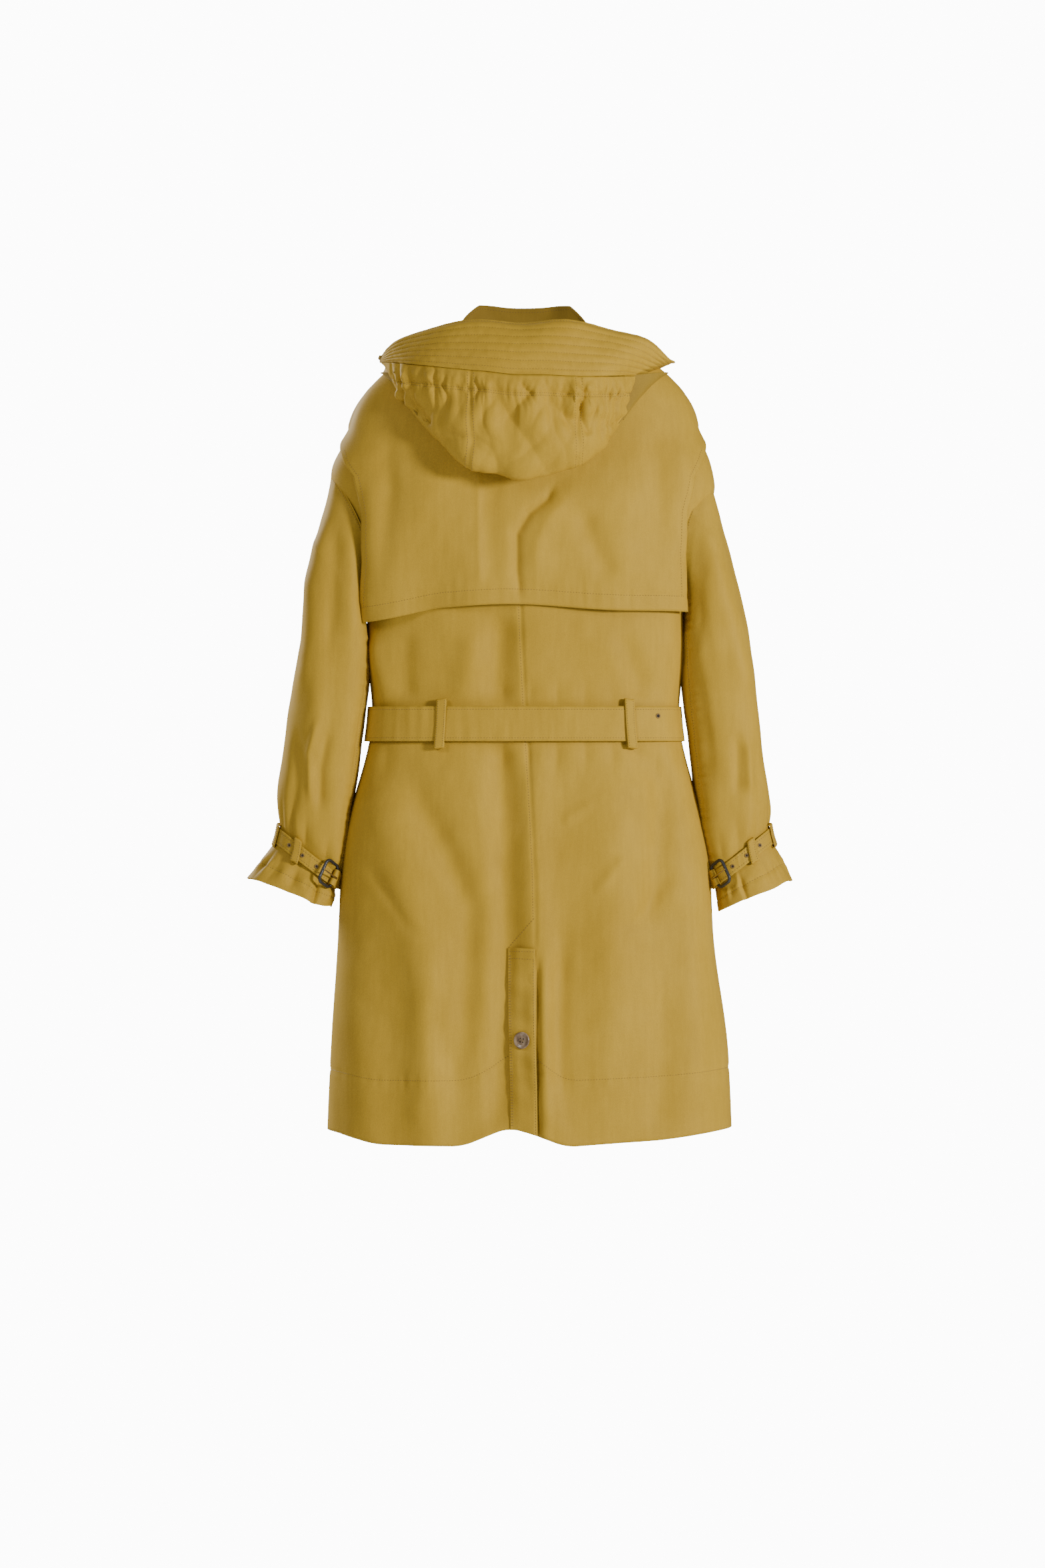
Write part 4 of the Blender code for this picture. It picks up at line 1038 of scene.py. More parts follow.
def make_buckle(prefix, bodies, place, length, height, bar, prong, strap_width, strap_thick):
    """A leather-covered frame, its prong and the strap's folded end. bodies are (strap, frame, prong)."""
    strap, frame, tongue = bodies
    corner, path = 0.0062, []
    for cx, cy, first in ((length - corner, height / 2 - corner, 0), (corner, height / 2 - corner, 90),
                          (corner, corner - height / 2, 180), (length - corner, corner - height / 2, 270)):
        for turn in range(0, 91, 9):
            angle = math.radians(first + turn)
            path.append((cx + corner * math.cos(angle), cy + corner * math.sin(angle), 0.0))
    loop = []
    for (x0, y0, _), (x1, y1, _) in zip(path, path[1:] + path[:1]):
        parts = max(int(math.hypot(x1 - x0, y1 - y0) / 0.0012), 1)
        loop += [(x0 + (x1 - x0) * k / parts, y0 + (y1 - y0) * k / parts, 0.0) for k in range(parts)]
    loop = np.array(loop)
    at_bar = 1 - bell(loop[:, 0], 0.0, 0.004)
    radius = bar * (0.97 + 0.12 * at_bar + 0.02 * np.sin(np.arange(len(loop)) * 0.9))
    points, faces = sweep(loop, radius, 16)
    obj = solid_object(prefix + "_leather_frame", turned(place, points), faces, LEATHER)
    show(obj, frame, "black_leather", prefix + "_frame")
    rim = loop[loop[:, 0] > 0.004]
    first = int(np.argmax(np.linalg.norm(np.diff(rim, axis=0), axis=1))) + 1
    rim = np.concatenate((rim[first:], rim[:first]))
    middle = np.array((length / 2, 0, 0))
    for toward in (0.55, -0.55):
        away = (rim - middle) / np.linalg.norm(rim - middle, axis=1, keepdims=True)
        line = rim + away * bar * toward + np.array((0, 0, bar * 0.92))
        normal = np.broadcast_to(np.array(place)[:3, 2], line.shape)
        stitch((frame, "waxed"), turned(place, line), normal, pitch=0.0028, length=0.0020, width=0.0005)
    out = bar + 0.0004 + prong
    hook = [(out * math.cos(a), 0.0, out * math.sin(a)) for a in np.radians(np.linspace(215, 90, 22))]
    tip = np.array((length + bar * 0.8, 0, out))
    rest = [hook[-1] + (tip - hook[-1]) * k for k in np.linspace(0.05, 1, 20)]
    line = np.array(hook + rest)
    line[22:, 2] -= 0.0004 * np.linspace(0, 1, 20) ** 2
    thin = prong * np.concatenate((np.full(34, 1.0), np.linspace(0.98, 0.62, 8)))
    points, faces = sweep(line, thin, 12, closed=False)
    obj = solid_object(prefix + "_metal_prong", turned(place, points), faces, METAL)
    show(obj, tongue, "brass", prefix + "_prong")
    make_fold(prefix, strap, place, bar, prong, strap_width, strap_thick)


def make_fold(prefix, strap, place, bar, prong, width, thick):
    inner = bar + 0.0006
    lift = bar_height(bar, prong)
    tail = -(lift - 0.0004 - thick / 2 - 0.0006)
    turns = np.linspace(-PI / 2, PI / 2, 20)
    ring = [(inner * math.cos(a), inner * math.sin(a)) for a in turns]
    ring += [(-0.0025, inner * 0.93), (-0.006, inner * 0.55 + tail * 0.5), (-0.0095, tail + 0.0008),
              (-0.0125, tail + 0.0002), (-0.0125, tail - 0.0004), (-0.0095, tail - 0.0008),
               (-0.006, tail * 0.5 - inner * 0.55), (-0.0025, -inner * 0.93)]
    ring = np.array(ring)
    columns = len(ring)
    across = np.linspace(-0.5, 0.5, 31) * (width - 0.001)
    points = np.stack([np.stack((ring[:, 0], np.full(columns, y), ring[:, 1]), -1) for y in across])
    keep = np.ones((30, columns), bool)
    middle_y = (across[:-1] + across[1:]) / 2
    middle_x = (ring[:, 0] + np.roll(ring[:, 0], -1)) / 2
    keep[np.abs(middle_y) < prong + 0.0007] = False
    keep[:, middle_x < -0.0040] = True
    points = turned(place, points.reshape(-1, 3)).reshape(points.shape)
    centre = turned(place, ((-0.003, 0, 0),))[0]
    if (normals_of(points, True) * (points - centre)).sum(-1).mean() < 0:
        points, keep = points[::-1], keep[::-1]
    Cloth(prefix + "_strap_end", points, strap, prefix + "_fold", look=(TRIM, TRIM), thick=0.0011, closed=True,
          side=1.0, keep=keep)


# ---------------------------------------------------------------- hood
HOOD_WIDTH, MOUTH_Z, MOUTH_RISE, BAG_BOTTOM = 0.186, -0.083, 0.014, -0.212
MOUTH_IN, MOUTH_OUT, TIP_Y, RIM_Y, RIM_Z, RIM_TIP = 0.096, 0.150, 0.020, 0.114, -0.0075, -0.052
HOOD_SEAM, SEAM_SLANT = 0.068, 0.10


def mouth(angle, share=1.0):
    """The edge where brim and bag meet. Towards share 1 it is narrower and hangs lower on the right."""
    x = HOOD_WIDTH * np.sin(angle) * (1 - 0.17 * ramp(-np.sin(angle), 0.35, 0.95) * share)
    tilt = 0.055 * (x + 0.02) * ramp(np.abs(x), 0.0, 0.05)
    return np.stack((x, TIP_Y + (MOUTH_OUT - TIP_Y) * np.cos(angle),
                     MOUTH_Z + MOUTH_RISE * np.sin(angle) ** 2 + tilt * share), -1)


def make_brim():
    columns, rows = 330, 64
    angle = across_from(1.52, -1.52, columns)
    t = down_from(0, 1, rows)
    foot = mouth(angle + 0 * t)
    wide = np.cos(angle)
    rim_z = RIM_Z + (RIM_TIP - RIM_Z) * np.abs(np.sin(angle)) ** np.where(angle > 0, 4.0, 3.1)
    rim_y = TIP_Y + (RIM_Y - TIP_Y) * wide
    up = 1 - t
    rim_x = HOOD_WIDTH * np.sin(angle) * (1 + 0.05 * bell(angle, 0.95, 0.30) + 0.045 * ramp(-np.sin(angle), 0.5, 0.9))
    x = foot[..., 0] + (rim_x - foot[..., 0]) * up
    y = foot[..., 1] + (rim_y - foot[..., 1]) * up + 0.0065 * np.sin(PI * up) * wide
    z = foot[..., 2] + (rim_z - foot[..., 2]) * up
    roll = ramp(up, 0.80, 1.0) ** 2
    y = y + roll * -0.0030 * wide + 0.0022 * wide * field(angle * 0.17, up * 0.05, 91, 0.09)
    z = z - 0.0020 * roll + 0.0022 * ramp(up, 0.5, 1.0) * field(angle * 0.17, 0 * up, 92, 0.14)
    row_gap = 1 / 7.0
    quilt = np.abs(np.sin(PI * (t - 0.045) / row_gap)) ** 0.7
    puff = 0.0009 * quilt * ramp(t, 0.03, 0.06) * (1 - ramp(t, 0.93, 0.97)) * ramp(wide, 0.10, 0.35)
    ripple = 0.00010 * field(angle * 0.17, t * 0.10, 93, 0.016) + 0.0006 * field(angle * 0.17, t * 0.06, 94, 0.08)
    points = np.stack((x, y, z), -1)
    points = points + normals_of(points) * (puff + ripple + 0.0004)[..., None]
    # The brim's inside faces take the darker cloth, which is painted shade.
    brim = Cloth("hood_brim_cloth", points, "hood", "hood_brim", look=(TRIM, INSIDE_SHADE), thick=0.0030)
    every = np.linspace(1, columns - 2.5, 560)
    for line in range(7):
        brim.sew((0.045 + line * row_gap) * (rows - 1), every, width=0.0006)


def gathers(run, down, seed):
    """Small pleats of a drawn-up seam: strong at the seam, dying out below it."""
    uneven = 0.60 + 0.55 * field(run, 0 * down, seed + 2, 0.07, lean=0.0, spread=0.05)
    fine = crumple(run, down * 0.9, seed, 0.017, 30, lean=0.0, spread=0.6) * np.exp(-down / 0.013)
    broad = crumple(run, down * 0.9, seed + 1, 0.045, 24, lean=0.0, spread=0.9) * np.exp(-down / 0.045)
    return (0.0013 * fine + 0.0036 * broad) * np.maximum(uneven, 0.15)


def settled_bag(shape, columns, rows):
    """How the bag's cloth moves off its plain shape when it is cut too full and left to hang."""
    angle, t = across_from(1.45, -1.45, 132), down_from(0, 0.62, 62)
    coarse, down = shape(angle, t)
    hold = np.zeros((62, 132))
    hold[0], hold[-1], hold[:, :4], hold[:, -4:] = 1, 1, 1, 1
    hold = np.maximum(hold, 0.5 * (np.abs(down - 0.0240) < 0.0020))
    moved = settle(coarse, hold, 0.016, bend=1.6) - coarse
    moved *= (0.75 * ramp(np.cos(angle), 0.20, 0.50) * (1 - 0.72 * ramp(down, 0.045, 0.085)))[..., None]
    up = np.interp(rows, (0, 0.62), (0, 1))
    return finer(moved, up, columns) * (rows < 0.62)[..., None]


BAG_CREASES = (
    (((0.153, -0.092), (0.143, -0.118), (0.120, -0.146)), 0.0055, -0.0060, 1.5, 0.15),
    (((0.160, -0.094), (0.156, -0.112)), 0.0050, 0.0030),
    (((-0.068, -0.112), (-0.074, -0.140), (-0.082, -0.160)), 0.0060, -0.0060, 1.5, 0.15),
    (((-0.098, -0.108), (-0.086, -0.140), (-0.066, -0.170)), 0.0120, 0.0038),
    (((-0.120, -0.104), (-0.112, -0.126), (-0.098, -0.148)), 0.0090, -0.0036),
    (((0.095, -0.112), (0.085, -0.140), (0.070, -0.175)), 0.014, 0.0036),
    (((0.020, -0.118), (0.026, -0.150), (0.010, -0.190)), 0.012, -0.0026),
    (((-0.020, -0.118), (-0.016, -0.150), (-0.026, -0.186)), 0.014, 0.0026),
)


def make_bag():
    columns, rows = 330, 170

    def shape(angle, t):
        turn = PI * t
        edge = mouth(angle + 0 * t, 1 - ramp(t, 0.5, 1.0))
        wide = np.cos(angle) + 0 * t
        half = (MOUTH_OUT - MOUTH_IN) / 2 * wide ** 1.1
        drop = (edge[..., 2] - BAG_BOTTOM) * wide ** 1.75
        x = edge[..., 0] * (1 - 0.030 * np.sin(turn))
        y = edge[..., 1] - half + half * np.cos(turn) + 0.002 * wide * np.sin(turn)
        z = edge[..., 2] - drop * np.sin(turn) ** 0.85 - 0.0005
        points = np.stack((x, y, z), -1)
        return points, np.linalg.norm(np.diff(points, axis=0, prepend=points[:1]), axis=-1).cumsum(0)

    angle = across_from(1.45, -1.45, columns)
    t = np.concatenate((np.linspace(0, 0.16, 44), np.linspace(0.165, 1, rows - 44)))[:, None]
    points, down = shape(angle, t)
    points += settled_bag(shape, across_from(0, 1, columns) + 0 * t, t + 0 * angle)
    x, z = points[..., 0], points[..., 2]
    normal = normals_of(points)
    run = angle * 0.17 + 0 * t
    outside = 1 - ramp(t, 0.45, 0.60)
    calm = ramp(np.cos(angle), 0.22, 0.50) * outside
    lift = calm * gathers(run, np.abs(down - 0.0225), 101) * (0.35 + 0.65 * ramp(down, 0.004, 0.016))
    lift += calm * 0.0016 * bell(down, 0.0115, 0.009)
    lift -= calm * 0.0016 * bell(down, 0.0225, 0.0030)
    lift += calm * (0.0030 * crumple(x, z, 103, 0.13) + 0.0010 * crumple(x, z, 104, 0.060)) * ramp(down, 0.02, 0.05)
    lift += calm * creases(x, z, BAG_CREASES)
    seams = []
    for side in (1, -1):
        seam_x = side * (HOOD_SEAM - SEAM_SLANT * (0 if side > 0 else 0.15) * (MOUTH_Z - z))
        seams.append(seam_x)
        lift += outside * seam_pucker(x - seam_x, z, 0.0010, 0.00012, 105 + side)
    points = points + normal * lift[..., None]
    bag = Cloth("hood_bag", points, "hood", "hood_center_panel", "hood_side_left", "hood_side_right")
    deep = int(rows * 0.55)
    for distance in (0.0225, 0.0255):
        every = np.linspace(6, columns - 8, 420)
        level = np.array([np.interp(distance, down[:deep, int(c)], np.arange(deep)) for c in every])
        bag.sew(level, every, pitch=0.0032, length=0.0022)
    lines = np.linspace(0.5, deep - 1, 300)
    for seam_x in seams:
        for away in (0.0042, -0.0042):
            place = [np.interp(-(seam_x[int(r), 0] + away), -x[int(r)], np.arange(columns)) for r in lines]
            bag.sew(lines, np.array(place))


make_brim()
make_bag()


def make_neck_panel(name, begin, end, start, stop, *nodes):
    columns, rows = 100, 60
    angle = across_from(begin, end, columns) + np.zeros((rows, 1))
    t = down_from(0, 1, rows) + 0 * angle
    neck_u = PI / 2 - angle
    neck = body_surface(neck_u, np.full_like(neck_u, 0.05))
    neck = neck + normals_of(body_surface(neck_u, 0.05 + 0.3 * t)) * 0.0060
    edge = mouth(angle)
    edge[..., 1] -= (MOUTH_OUT - MOUTH_IN) * np.maximum(np.cos(angle), 0) ** 1.1
    edge = edge + np.array((0, -0.0022, 0.0010))
    bow = np.array((0, 0.6, 0.8)) * (0.008 * np.sin(PI * t)[..., None])
    points = neck + (edge - neck) * t[..., None] + bow
    points[..., 2] += 0.0016 * np.sin(PI * t) * field(angle * 0.17, t * 0.04, 111, 0.05)
    panel = Cloth("hood_neck_" + name, points, ("coat", "hood", (*start, 0), (*stop, 0)), *nodes)
    panel.sew(4.0, np.linspace(1, columns - 2.5, 160))


make_neck_panel("back", 0.62, -0.62, (0, 0.066), (0, 0.090), "hood_neck_panel")
make_neck_panel("left", 1.44, 0.46, (0.0624, 0.0468), (0.0960, 0.0720))
make_neck_panel("right", -0.46, -1.20, (-0.0624, 0.0468), (-0.0960, 0.0720))


# ---------------------------------------------------------------- sleeves
SWING = ((0.2275, 0, -0.2850), (0.2690, 0, -0.2962))
CUFF_LEVEL, CUFF_OFFSET, CUFF_THICK, CUFF_WIDTH = 5.0, 0.0044, 0.0020, 0.022


# The folds behind the sleeves, both given as on the left one, which the right one mirrors.
LEFT_CREASES = (
    (((0.221, -0.260), (0.222, -0.340), (0.226, -0.420)), 0.0095, 0.0046),
    (((0.236, -0.255), (0.242, -0.340), (0.252, -0.440)), 0.0080, -0.0040),
    (((0.262, -0.30), (0.272, -0.38), (0.290, -0.50)), 0.0100, 0.0034),
    (((0.262, -0.510), (0.276, -0.560), (0.274, -0.632)), 0.0050, 0.0040),
    (((0.251, -0.525), (0.262, -0.580), (0.262, -0.640)), 0.0070, -0.0042),
    (((0.292, -0.520), (0.290, -0.580), (0.298, -0.648)), 0.0070, -0.0034),
    (((0.250, -0.24), (0.262, -0.33), (0.268, -0.46), (0.262, -0.60)), 0.0160, 0.0050),
)
RIGHT_CREASES = (
    (((0.241, -0.286), (0.262, -0.390), (0.288, -0.503)), 0.0100, 0.0050),
    (((0.226, -0.330), (0.216, -0.430), (0.236, -0.560), (0.241, -0.635)), 0.0110, -0.0060),
    (((0.258, -0.250), (0.276, -0.340), (0.290, -0.430)), 0.0080, -0.0036),
    (((0.284, -0.541), (0.288, -0.616)), 0.0050, 0.0044),
    (((0.272, -0.530), (0.274, -0.620)), 0.0070, -0.0040),
    (((0.299, -0.560), (0.300, -0.635)), 0.0070, -0.0034),
    (((0.236, -0.24), (0.240, -0.34), (0.252, -0.46)), 0.0140, 0.0040),
)


def make_sleeve(side, name):
    columns, rows = 210, 330
    u = np.linspace(0, 2 * PI, columns + 1)[None, :-1] + np.zeros((rows, 1))
    v = np.interp(np.linspace(0, 1, rows), (0, 0.16, 0.80, 1), (0, 0.75, 4.75, 6))[:, None] + 0 * u
    flat = sleeve_surface(u, v)
    x, z = flat[..., 0], flat[..., 2]
    behind = ramp(np.sin(u), 0.05, 0.45)
    lift = creases(x, z, LEFT_CREASES if side > 0 else RIGHT_CREASES) * behind
    run = u * 0.045
    around = np.minimum(run, 2 * PI * 0.045 - run)
    seed = 130 + 3 * side
    lift += 0.0020 * field(around, z, seed, 0.16, lean=0.2, spread=0.3) + 0.0003 * field(around, z, seed + 1, 0.06)
    calm = ramp(v, 0.05, 0.8) * (1 - 0.85 * bell(v, 5.0, 0.42)) * (1 - 0.45 * ramp(v, 5.3, 6.0))
    pinch = bell(v, 4.48, 0.30) + 0.9 * bell(v, 5.62, 0.32)
    lift = lift * calm + 0.0016 * pinch * crumple(around, 0.3 * z, seed + 5, 0.045, lean=0.0, spread=0.2)
    lift += 0.0030 * bell(v, 4.25, 0.55) - 0.0010 * bell(v, 5.0, 0.30)
    pleat_at = 0.093 if side > 0 else 0.080
    pleat = np.clip(around - pleat_at, -0.03, 0.03)
    below = ramp(v, 5.12, 5.55) * behind
    lift += below * (0.0030 * ramp(pleat, -0.0008, 0.0008) - 0.0022 * bell(pleat, -0.0022, 0.0022))
    lift += below * 0.0030 * bell(pleat, -0.012, 0.010)
    hem_run = (6 - v) * 0.057
    lift += seam_pucker(hem_run - 0.0215, around, 0.0007, 0.0006, seed + 6) * ramp(v, 5.2, 5.5)
    seam = bell(v, 0.10, 0.045)
    pulled = field(around, 0 * z, seed + 7, 0.014, lean=0.0, spread=0.05)
    lift += -0.0008 * seam + 0.0004 * bell(v, 0.22, 0.10) * pulled
    back_seam = np.abs(around - 0.118)
    lift += behind * seam_pucker(back_seam, z, 0.0009, 0.0004, seed + 8) * ramp(v, 0.3, 0.8)
    fuller = ((0, 0.001), (0.3, 0.004), (1, 0.0145), (1.6, 0.012), (2.4, 0.006), (4.2, 0.004), (5, 0.001), (6, 0.019))
    if side < 0:
        fuller = ((0, -0.004), (1, 0.001), (2, 0.003), (3, 0.002), (4, 0.003), (5, 0.001), (6, 0.007))
    aside = np.interp(v, *np.array(fuller).T) * ramp(np.cos(u), -0.2, 0.9)
    toward_body = ((0, 0), (0.7, 0), (1.3, 0.006), (2, 0.0105), (3, 0.0085), (4, 0.0085), (4.7, 0.005), (5, 0),
                   (6, 0))
    lift += np.interp(v, *np.array(toward_body).T) * ramp(-np.cos(u), 0.1, 0.9)
    out = raised(sleeve_surface, u, v, 0.0)[1]
    points = flat + out * lift[..., None]
    points[..., 0] += aside
    cap = (1 - ramp(v, 0.0, 0.7)) * ramp(np.cos(u), 0.0, 0.9)
    points += cap[..., None] * np.array((0.0035 if side > 0 else -0.0040, 0, 0.016))
    points[..., 2] -= (0.004 if side > 0 else 0.007) * ramp(v, 5.15, 6.0)
    points[..., 2] += ramp(v, 5.2, 6.0) * 0.0022 * field(around, 0 * z, seed + 9, 0.07, lean=0.0, spread=0.05)
    body = "sleeve_" + name
    low, high = SWING
    key = ("coat", body, (low[0] * side, 0, low[2]), (high[0] * side, 0, high[2]))
    sleeve = Cloth(body + "_cloth", flipped(points, side), key, body, thick=0.0018, closed=True)
    row_of = lambda value: np.interp(value, v[:, 0], np.arange(rows))
    every = np.linspace(0, columns - 1.5, 240)
    sleeve.sew(row_of(6 - 0.0215 / 0.057), every, body)
    sleeve.sew(row_of(0.20), np.linspace(0, columns - 1.5, 130), "coat")
    seam_column = np.interp(0.118 + 0.0035, run[0], np.arange(columns))
    if side < 0:
        seam_column = columns - 1 - seam_column
    sleeve.sew(np.linspace(row_of(0.7), row_of(4.9), 330), seam_column)


def make_cuff(side, name):
    body, surface = "sleeve_" + name, sleeve_surface
    length, height, bar, prong = 0.024, 0.031, 0.0019, 0.0010
    heel = reach(surface, 2.12, CUFF_LEVEL, length / 2)
    start = reach(surface, heel, CUFF_LEVEL, 0.0128)
    end = 2 * PI + start + 0.30

    def offset_at(u):
        return CUFF_OFFSET + (CUFF_THICK + 0.0006) * (1 - ramp(u, start + 0.50, start + 0.95))

    make_strap(body + "_strap", "cuff_strap_" + name, body, surface, start, end, CUFF_LEVEL, CUFF_WIDTH, CUFF_THICK,
               offset_at, side, 0.0003)
    for part, u in (("outer", 0.35), ("back", 1.31), ("front", 5.06)):
        make_carrier(f"cuff_carrier_{name}_{part}", f"cuff_loop_{name}_{part}", body, surface, u, CUFF_LEVEL, 0.010,
                     0.031, 0.0011, 0.0021, CUFF_OFFSET + 0.0014, side)
    for number, along in enumerate((-0.024, -0.045, -0.066), 1):
        u = reach(surface, heel, CUFF_LEVEL, along)
        if all(abs(u - at) > 0.10 for at in (0.35, 1.31)):
            make_eyelet(f"cuff_eyelet_{name}_{number}", body, surface, u, CUFF_LEVEL, CUFF_OFFSET + 0.0006, side,
                        0.0021)
    place = place_on(surface, heel, CUFF_LEVEL, CUFF_OFFSET + bar_height(bar, prong), side)
    place = place @ Matrix.Rotation(PI, 4, "Z")
    make_buckle("cuff_buckle_" + name, (body, "cuff_frame_" + name, "cuff_prong_" + name), place, length, height, bar,
                prong, CUFF_WIDTH, CUFF_THICK)


for sign, which in ((1, "left"), (-1, "right")):
    make_sleeve(sign, which)
    make_cuff(sign, which)


# ---------------------------------------------------------------- belt
def make_belt():
    outer, thick, level, width = 0.0072, 0.0028, BELT_LEVEL, 0.045
    length, height, bar, prong = 0.046, 0.060, 0.0024, 0.0014
    heel = reach(body_surface, 4.7124, level, length / 2)
    start = reach(body_surface, heel, level, 0.0128)
    end = 2 * PI + start + 0.34

    def offset_at(u):
        return outer + (thick + 0.0006) * (1 - ramp(u, start + 0.42, start + 0.62))

    make_strap("belt", "belt_strap", "coat", body_surface, start, end, level, width, thick, offset_at, 1, 0.0003)
    for name, u in (("back_left", 1.107), ("back_right", 2.22), ("front_right", 3.60), ("front_left", 5.82)):
        top = float(offset_at(u if u > start else u + 2 * PI))
        make_carrier("belt_carrier_" + name, "belt_loop_" + name, "coat", body_surface, u, level, 0.012, 0.061,
                     0.0013, 0.0026, top + 0.0012)
    for number, along in enumerate((-0.045, -0.080, -0.115), 1):
        u = reach(body_surface, heel, level, along)
        make_eyelet(f"belt_eyelet_{number}", "coat", body_surface, u, level, outer + 0.0005)
    make_eyelet("belt_eyelet_back", "coat", body_surface, 2.525, 6.94, outer + 0.0005, 1, 0.0026)
    place = place_on(body_surface, heel, level, outer + bar_height(bar, prong)) @ Matrix.Rotation(PI, 4, "Z")
    make_buckle("belt_buckle", ("coat", "belt_frame", "belt_prong"), place, length, height, bar, prong, width, thick)


make_belt()


# ---------------------------------------------------------------- buttons and vent
ROUND, HOLE_AWAY = 48, 0.0021  # points round a button, and how far each hole is from its centre lines


def make_button(name, place, radius=0.011):
    """A four-hole button. Its profile is (share of the radius, height) from the middle of the top to the bottom's."""
    profile = ((0.0, 0.0024), (0.30, 0.0024), (0.55, 0.0025), (0.68, 0.0029), (0.80, 0.0036), (0.90, 0.0038),
               (0.97, 0.0034), (1.0, 0.0024), (0.97, 0.0012), (0.80, 0.0003), (0.4, 0.0), (0.0, 0.0))
    a = np.linspace(0, 2 * PI, ROUND + 1)[:-1]
    points = [(0, 0, profile[0][1])]
    for share, lift in profile[1:-1]:
        points += [(radius * share * math.cos(t), radius * share * math.sin(t), lift) for t in a]
    points.append((0, 0, profile[-1][1]))
    faces = [(0, 1 + k, 1 + (k + 1) % ROUND) for k in range(ROUND)]
    for ring in range(len(profile) - 3):
        base = 1 + ring * ROUND
        faces += [(base + k, base + ROUND + k, base + ROUND + (k + 1) % ROUND, base + (k + 1) % ROUND)
                  for k in range(ROUND)]
    base = 1 + (len(profile) - 3) * ROUND
    faces += [(base + (k + 1) % ROUND, base + k, len(points) - 1) for k in range(ROUND)]
    show(solid_object(name + "_horn", turned(place, points), faces, HORN), "coat", "horn", name)
    up = np.broadcast_to(np.array(place)[:3, 2], (12, 3))
    for sx in (-1, 1):
        for sy in (-1, 1):
            spot = place @ Matrix.Translation((sx * HOLE_AWAY, sy * HOLE_AWAY, 0.00255))
            # Each button hole is a dark disc of painted shade.
            disc(f"{name}_hole_{(sx + 1) + (sy + 1) // 2}", "coat", spot, 0.00095, HOLE_SHADE, "horn", 0.00002)
        line = [(sx * HOLE_AWAY, k, 0.0027 + 0.0006 * math.cos(k / 0.0023 * PI / 2))
                for k in np.linspace(-0.0023, 0.0023, 12)]
        for aside in (-0.00035, 0.00035):
            stitch("coat", turned(place, np.array(line) + (aside, 0, 0)), up, 0.0047, 0.0044, 0.0006, 0.0006)


def panel_place(cloth, us, vs, u, v, lift):
    """A button's place on a panel whose columns are at us and rows at vs."""
    row, column = np.interp(v, vs, np.arange(len(vs))), np.interp(u, us, np.arange(len(us)))
    here, out = sample(cloth.points, row, column), sample(cloth.normal, row, column)
    along = sample(cloth.points, row, column + 1) - sample(cloth.points, row, column - 1)
    return frame_at(here + out * lift, along, out)


for side, name in ((1, "left"), (-1, "right")):
    for number, level in enumerate((2.6, 4.9, 6.35, 8.1), 1):
        spot = panel_place(*left_front, FRONT_MIDDLE + side * 0.27, level, 0.0003)
        make_button(f"front_button_{name}_{number}", spot)


def make_vent():
    columns, rows = 60, 150
    v = down_from(8.66, 10.0, rows)
    s = across_from(0, 1, columns)
    across = 0.021 + (-0.0135 - 0.021) * s - 0.003 * ramp(v, 9.0, 10.0)
    u = back_angle(across, v + 0 * s)
    flat, out = raised(body_surface, u, v + 0 * s, 0.0)
    x, z = flat[..., 0], flat[..., 2]
    base = sample(back_cloth.points, np.interp(v, back_v, np.arange(len(back_v))) + 0 * s,
                  np.interp(-x, -back_x[len(back_v) - 1], np.arange(back_x.shape[1])))
    lift = (base[..., 1] - flat[..., 1]) * (1 - ramp(s, 0.0, 0.5) * 0.7) + 0.0022
    free = ramp(s, 0.35, 1.0)
    lift = lift + free * (0.0012 + 0.0042 * ramp(v, 8.75, 9.1) * (0.6 + 0.4 * np.cos((v - 9.36) * 7.5) * -1))
    lift = lift + 0.0006 * field(x, z, 151, 0.04)
    lift = lift + 0.0016 * free * field(x * 0, z, 152, 0.09, lean=PI / 2, spread=0.1)
    lift = np.maximum(lift, base[..., 1] - flat[..., 1] + 0.0015)
    points = flat + out * lift[..., None]
    points[..., 2] += hem_shift(x, v + 0 * s) + 0.0005
    flap = Cloth("vent_flap_cloth", points, "coat", "vent_flap", thick=0.0014)
    lines = np.linspace(6, rows - 3, 180)
    for column in (2.5, 5.5):
        flap.sew(lines, column)
    for row in (3.0, 9.5):
        flap.sew(row, np.linspace(1, columns - 2.5, 40))
    flap.sew(np.linspace(9.5, rows - 2, 160), columns - 5.0)
    place = panel_place(flap, s[0], v[:, 0], (0.021 - 0.0034) / 0.0345, 9.36, 0.0004)
    make_button("vent_button", place)
    corner = [on_back(0.021 + (-0.0125 - 0.021) * k, 8.42 + 0.24 * (1 - k), 0.0002) for k in np.linspace(0, 1, 30)]
    stitch("coat", np.array([c.reshape(3) for c in corner]), np.broadcast_to((0, 1, 0), (30, 3)))


make_vent()


# ---------------------------------------------------------------- floor, light and camera
finish_threads()


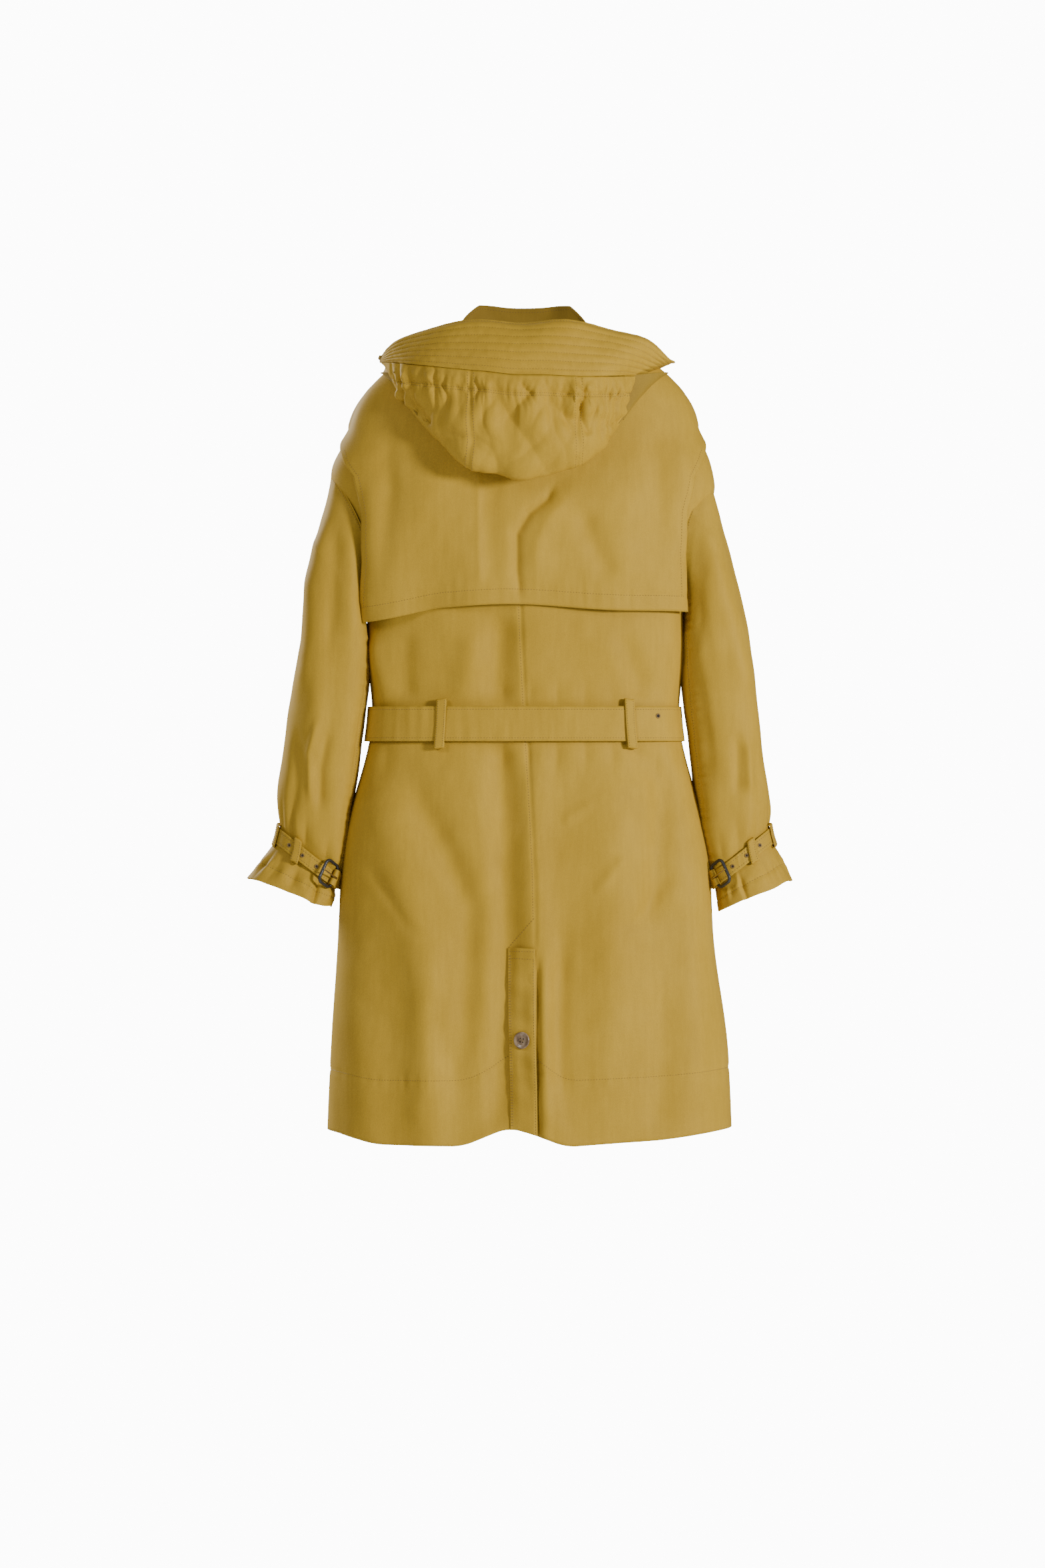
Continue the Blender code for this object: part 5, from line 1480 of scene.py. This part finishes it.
def make_room():
    verts = [(-3.5, -3.5, -2.2), (3.5, -3.5, -2.2), (3.5, 3.5, -2.2), (-3.5, 3.5, -2.2)]
    mesh = bpy.data.meshes.new("pale_floor")
    mesh.from_pydata(verts, [], [(0, 1, 2, 3)])
    floor = bpy.data.objects.new("pale_floor", mesh)
    bpy.context.scene.collection.objects.link(floor)
    mesh.materials.append(cloudy("pale_floor", 3.0, (0.90, 0.90, 0.90), (0.94, 0.94, 0.94), 0.7))
    world = bpy.data.worlds.new("studio")
    bpy.context.scene.world = world
    world.use_nodes = True
    tree = world.node_tree
    tree.nodes.clear()
    out, mixer = tree.nodes.new("ShaderNodeOutputWorld"), tree.nodes.new("ShaderNodeMixShader")
    seen, fill = tree.nodes.new("ShaderNodeBackground"), tree.nodes.new("ShaderNodeBackground")
    path = tree.nodes.new("ShaderNodeLightPath")
    seen.inputs["Color"].default_value, seen.inputs["Strength"].default_value = (1, 1, 1, 1), 12.0
    fill.inputs["Color"].default_value, fill.inputs["Strength"].default_value = (0.97, 0.98, 1, 1), 0.24
    tree.links.new(path.outputs["Is Camera Ray"], mixer.inputs[0])
    tree.links.new(fill.outputs[0], mixer.inputs[1])
    tree.links.new(seen.outputs[0], mixer.inputs[2])
    tree.links.new(mixer.outputs[0], out.inputs["Surface"])
    for name, place, size, watts in (("key", (-2.9, 2.65, 0.1), 0.7, 172), ("front", (2.9, -2.6, 1.2), 1.2, 185),
                                     ("fill", (1.9, 2.2, 0.9), 1.2, 26)):
        data = bpy.data.lights.new(name, "AREA")
        data.shape, data.size, data.energy = "DISK", size, watts
        light = bpy.data.objects.new(name, data)
        light.location = place
        aim = Vector((0, 0, -0.55)) - Vector(place)
        light.rotation_euler = aim.to_track_quat("-Z", "Y").to_euler()
        bpy.context.scene.collection.objects.link(light)
    data = bpy.data.cameras.new("view")
    data.sensor_fit, data.sensor_height, data.sensor_width, data.lens = "VERTICAL", 36.0, 36.0, 108.0
    data.clip_start, data.clip_end = 0.1, 40.0
    camera = bpy.data.objects.new("view", data)
    camera.location = (0.00255, 6.09, -0.600)
    camera.rotation_euler = (PI / 2, 0, PI)
    bpy.context.scene.collection.objects.link(camera)
    bpy.context.scene.camera = camera


make_room()
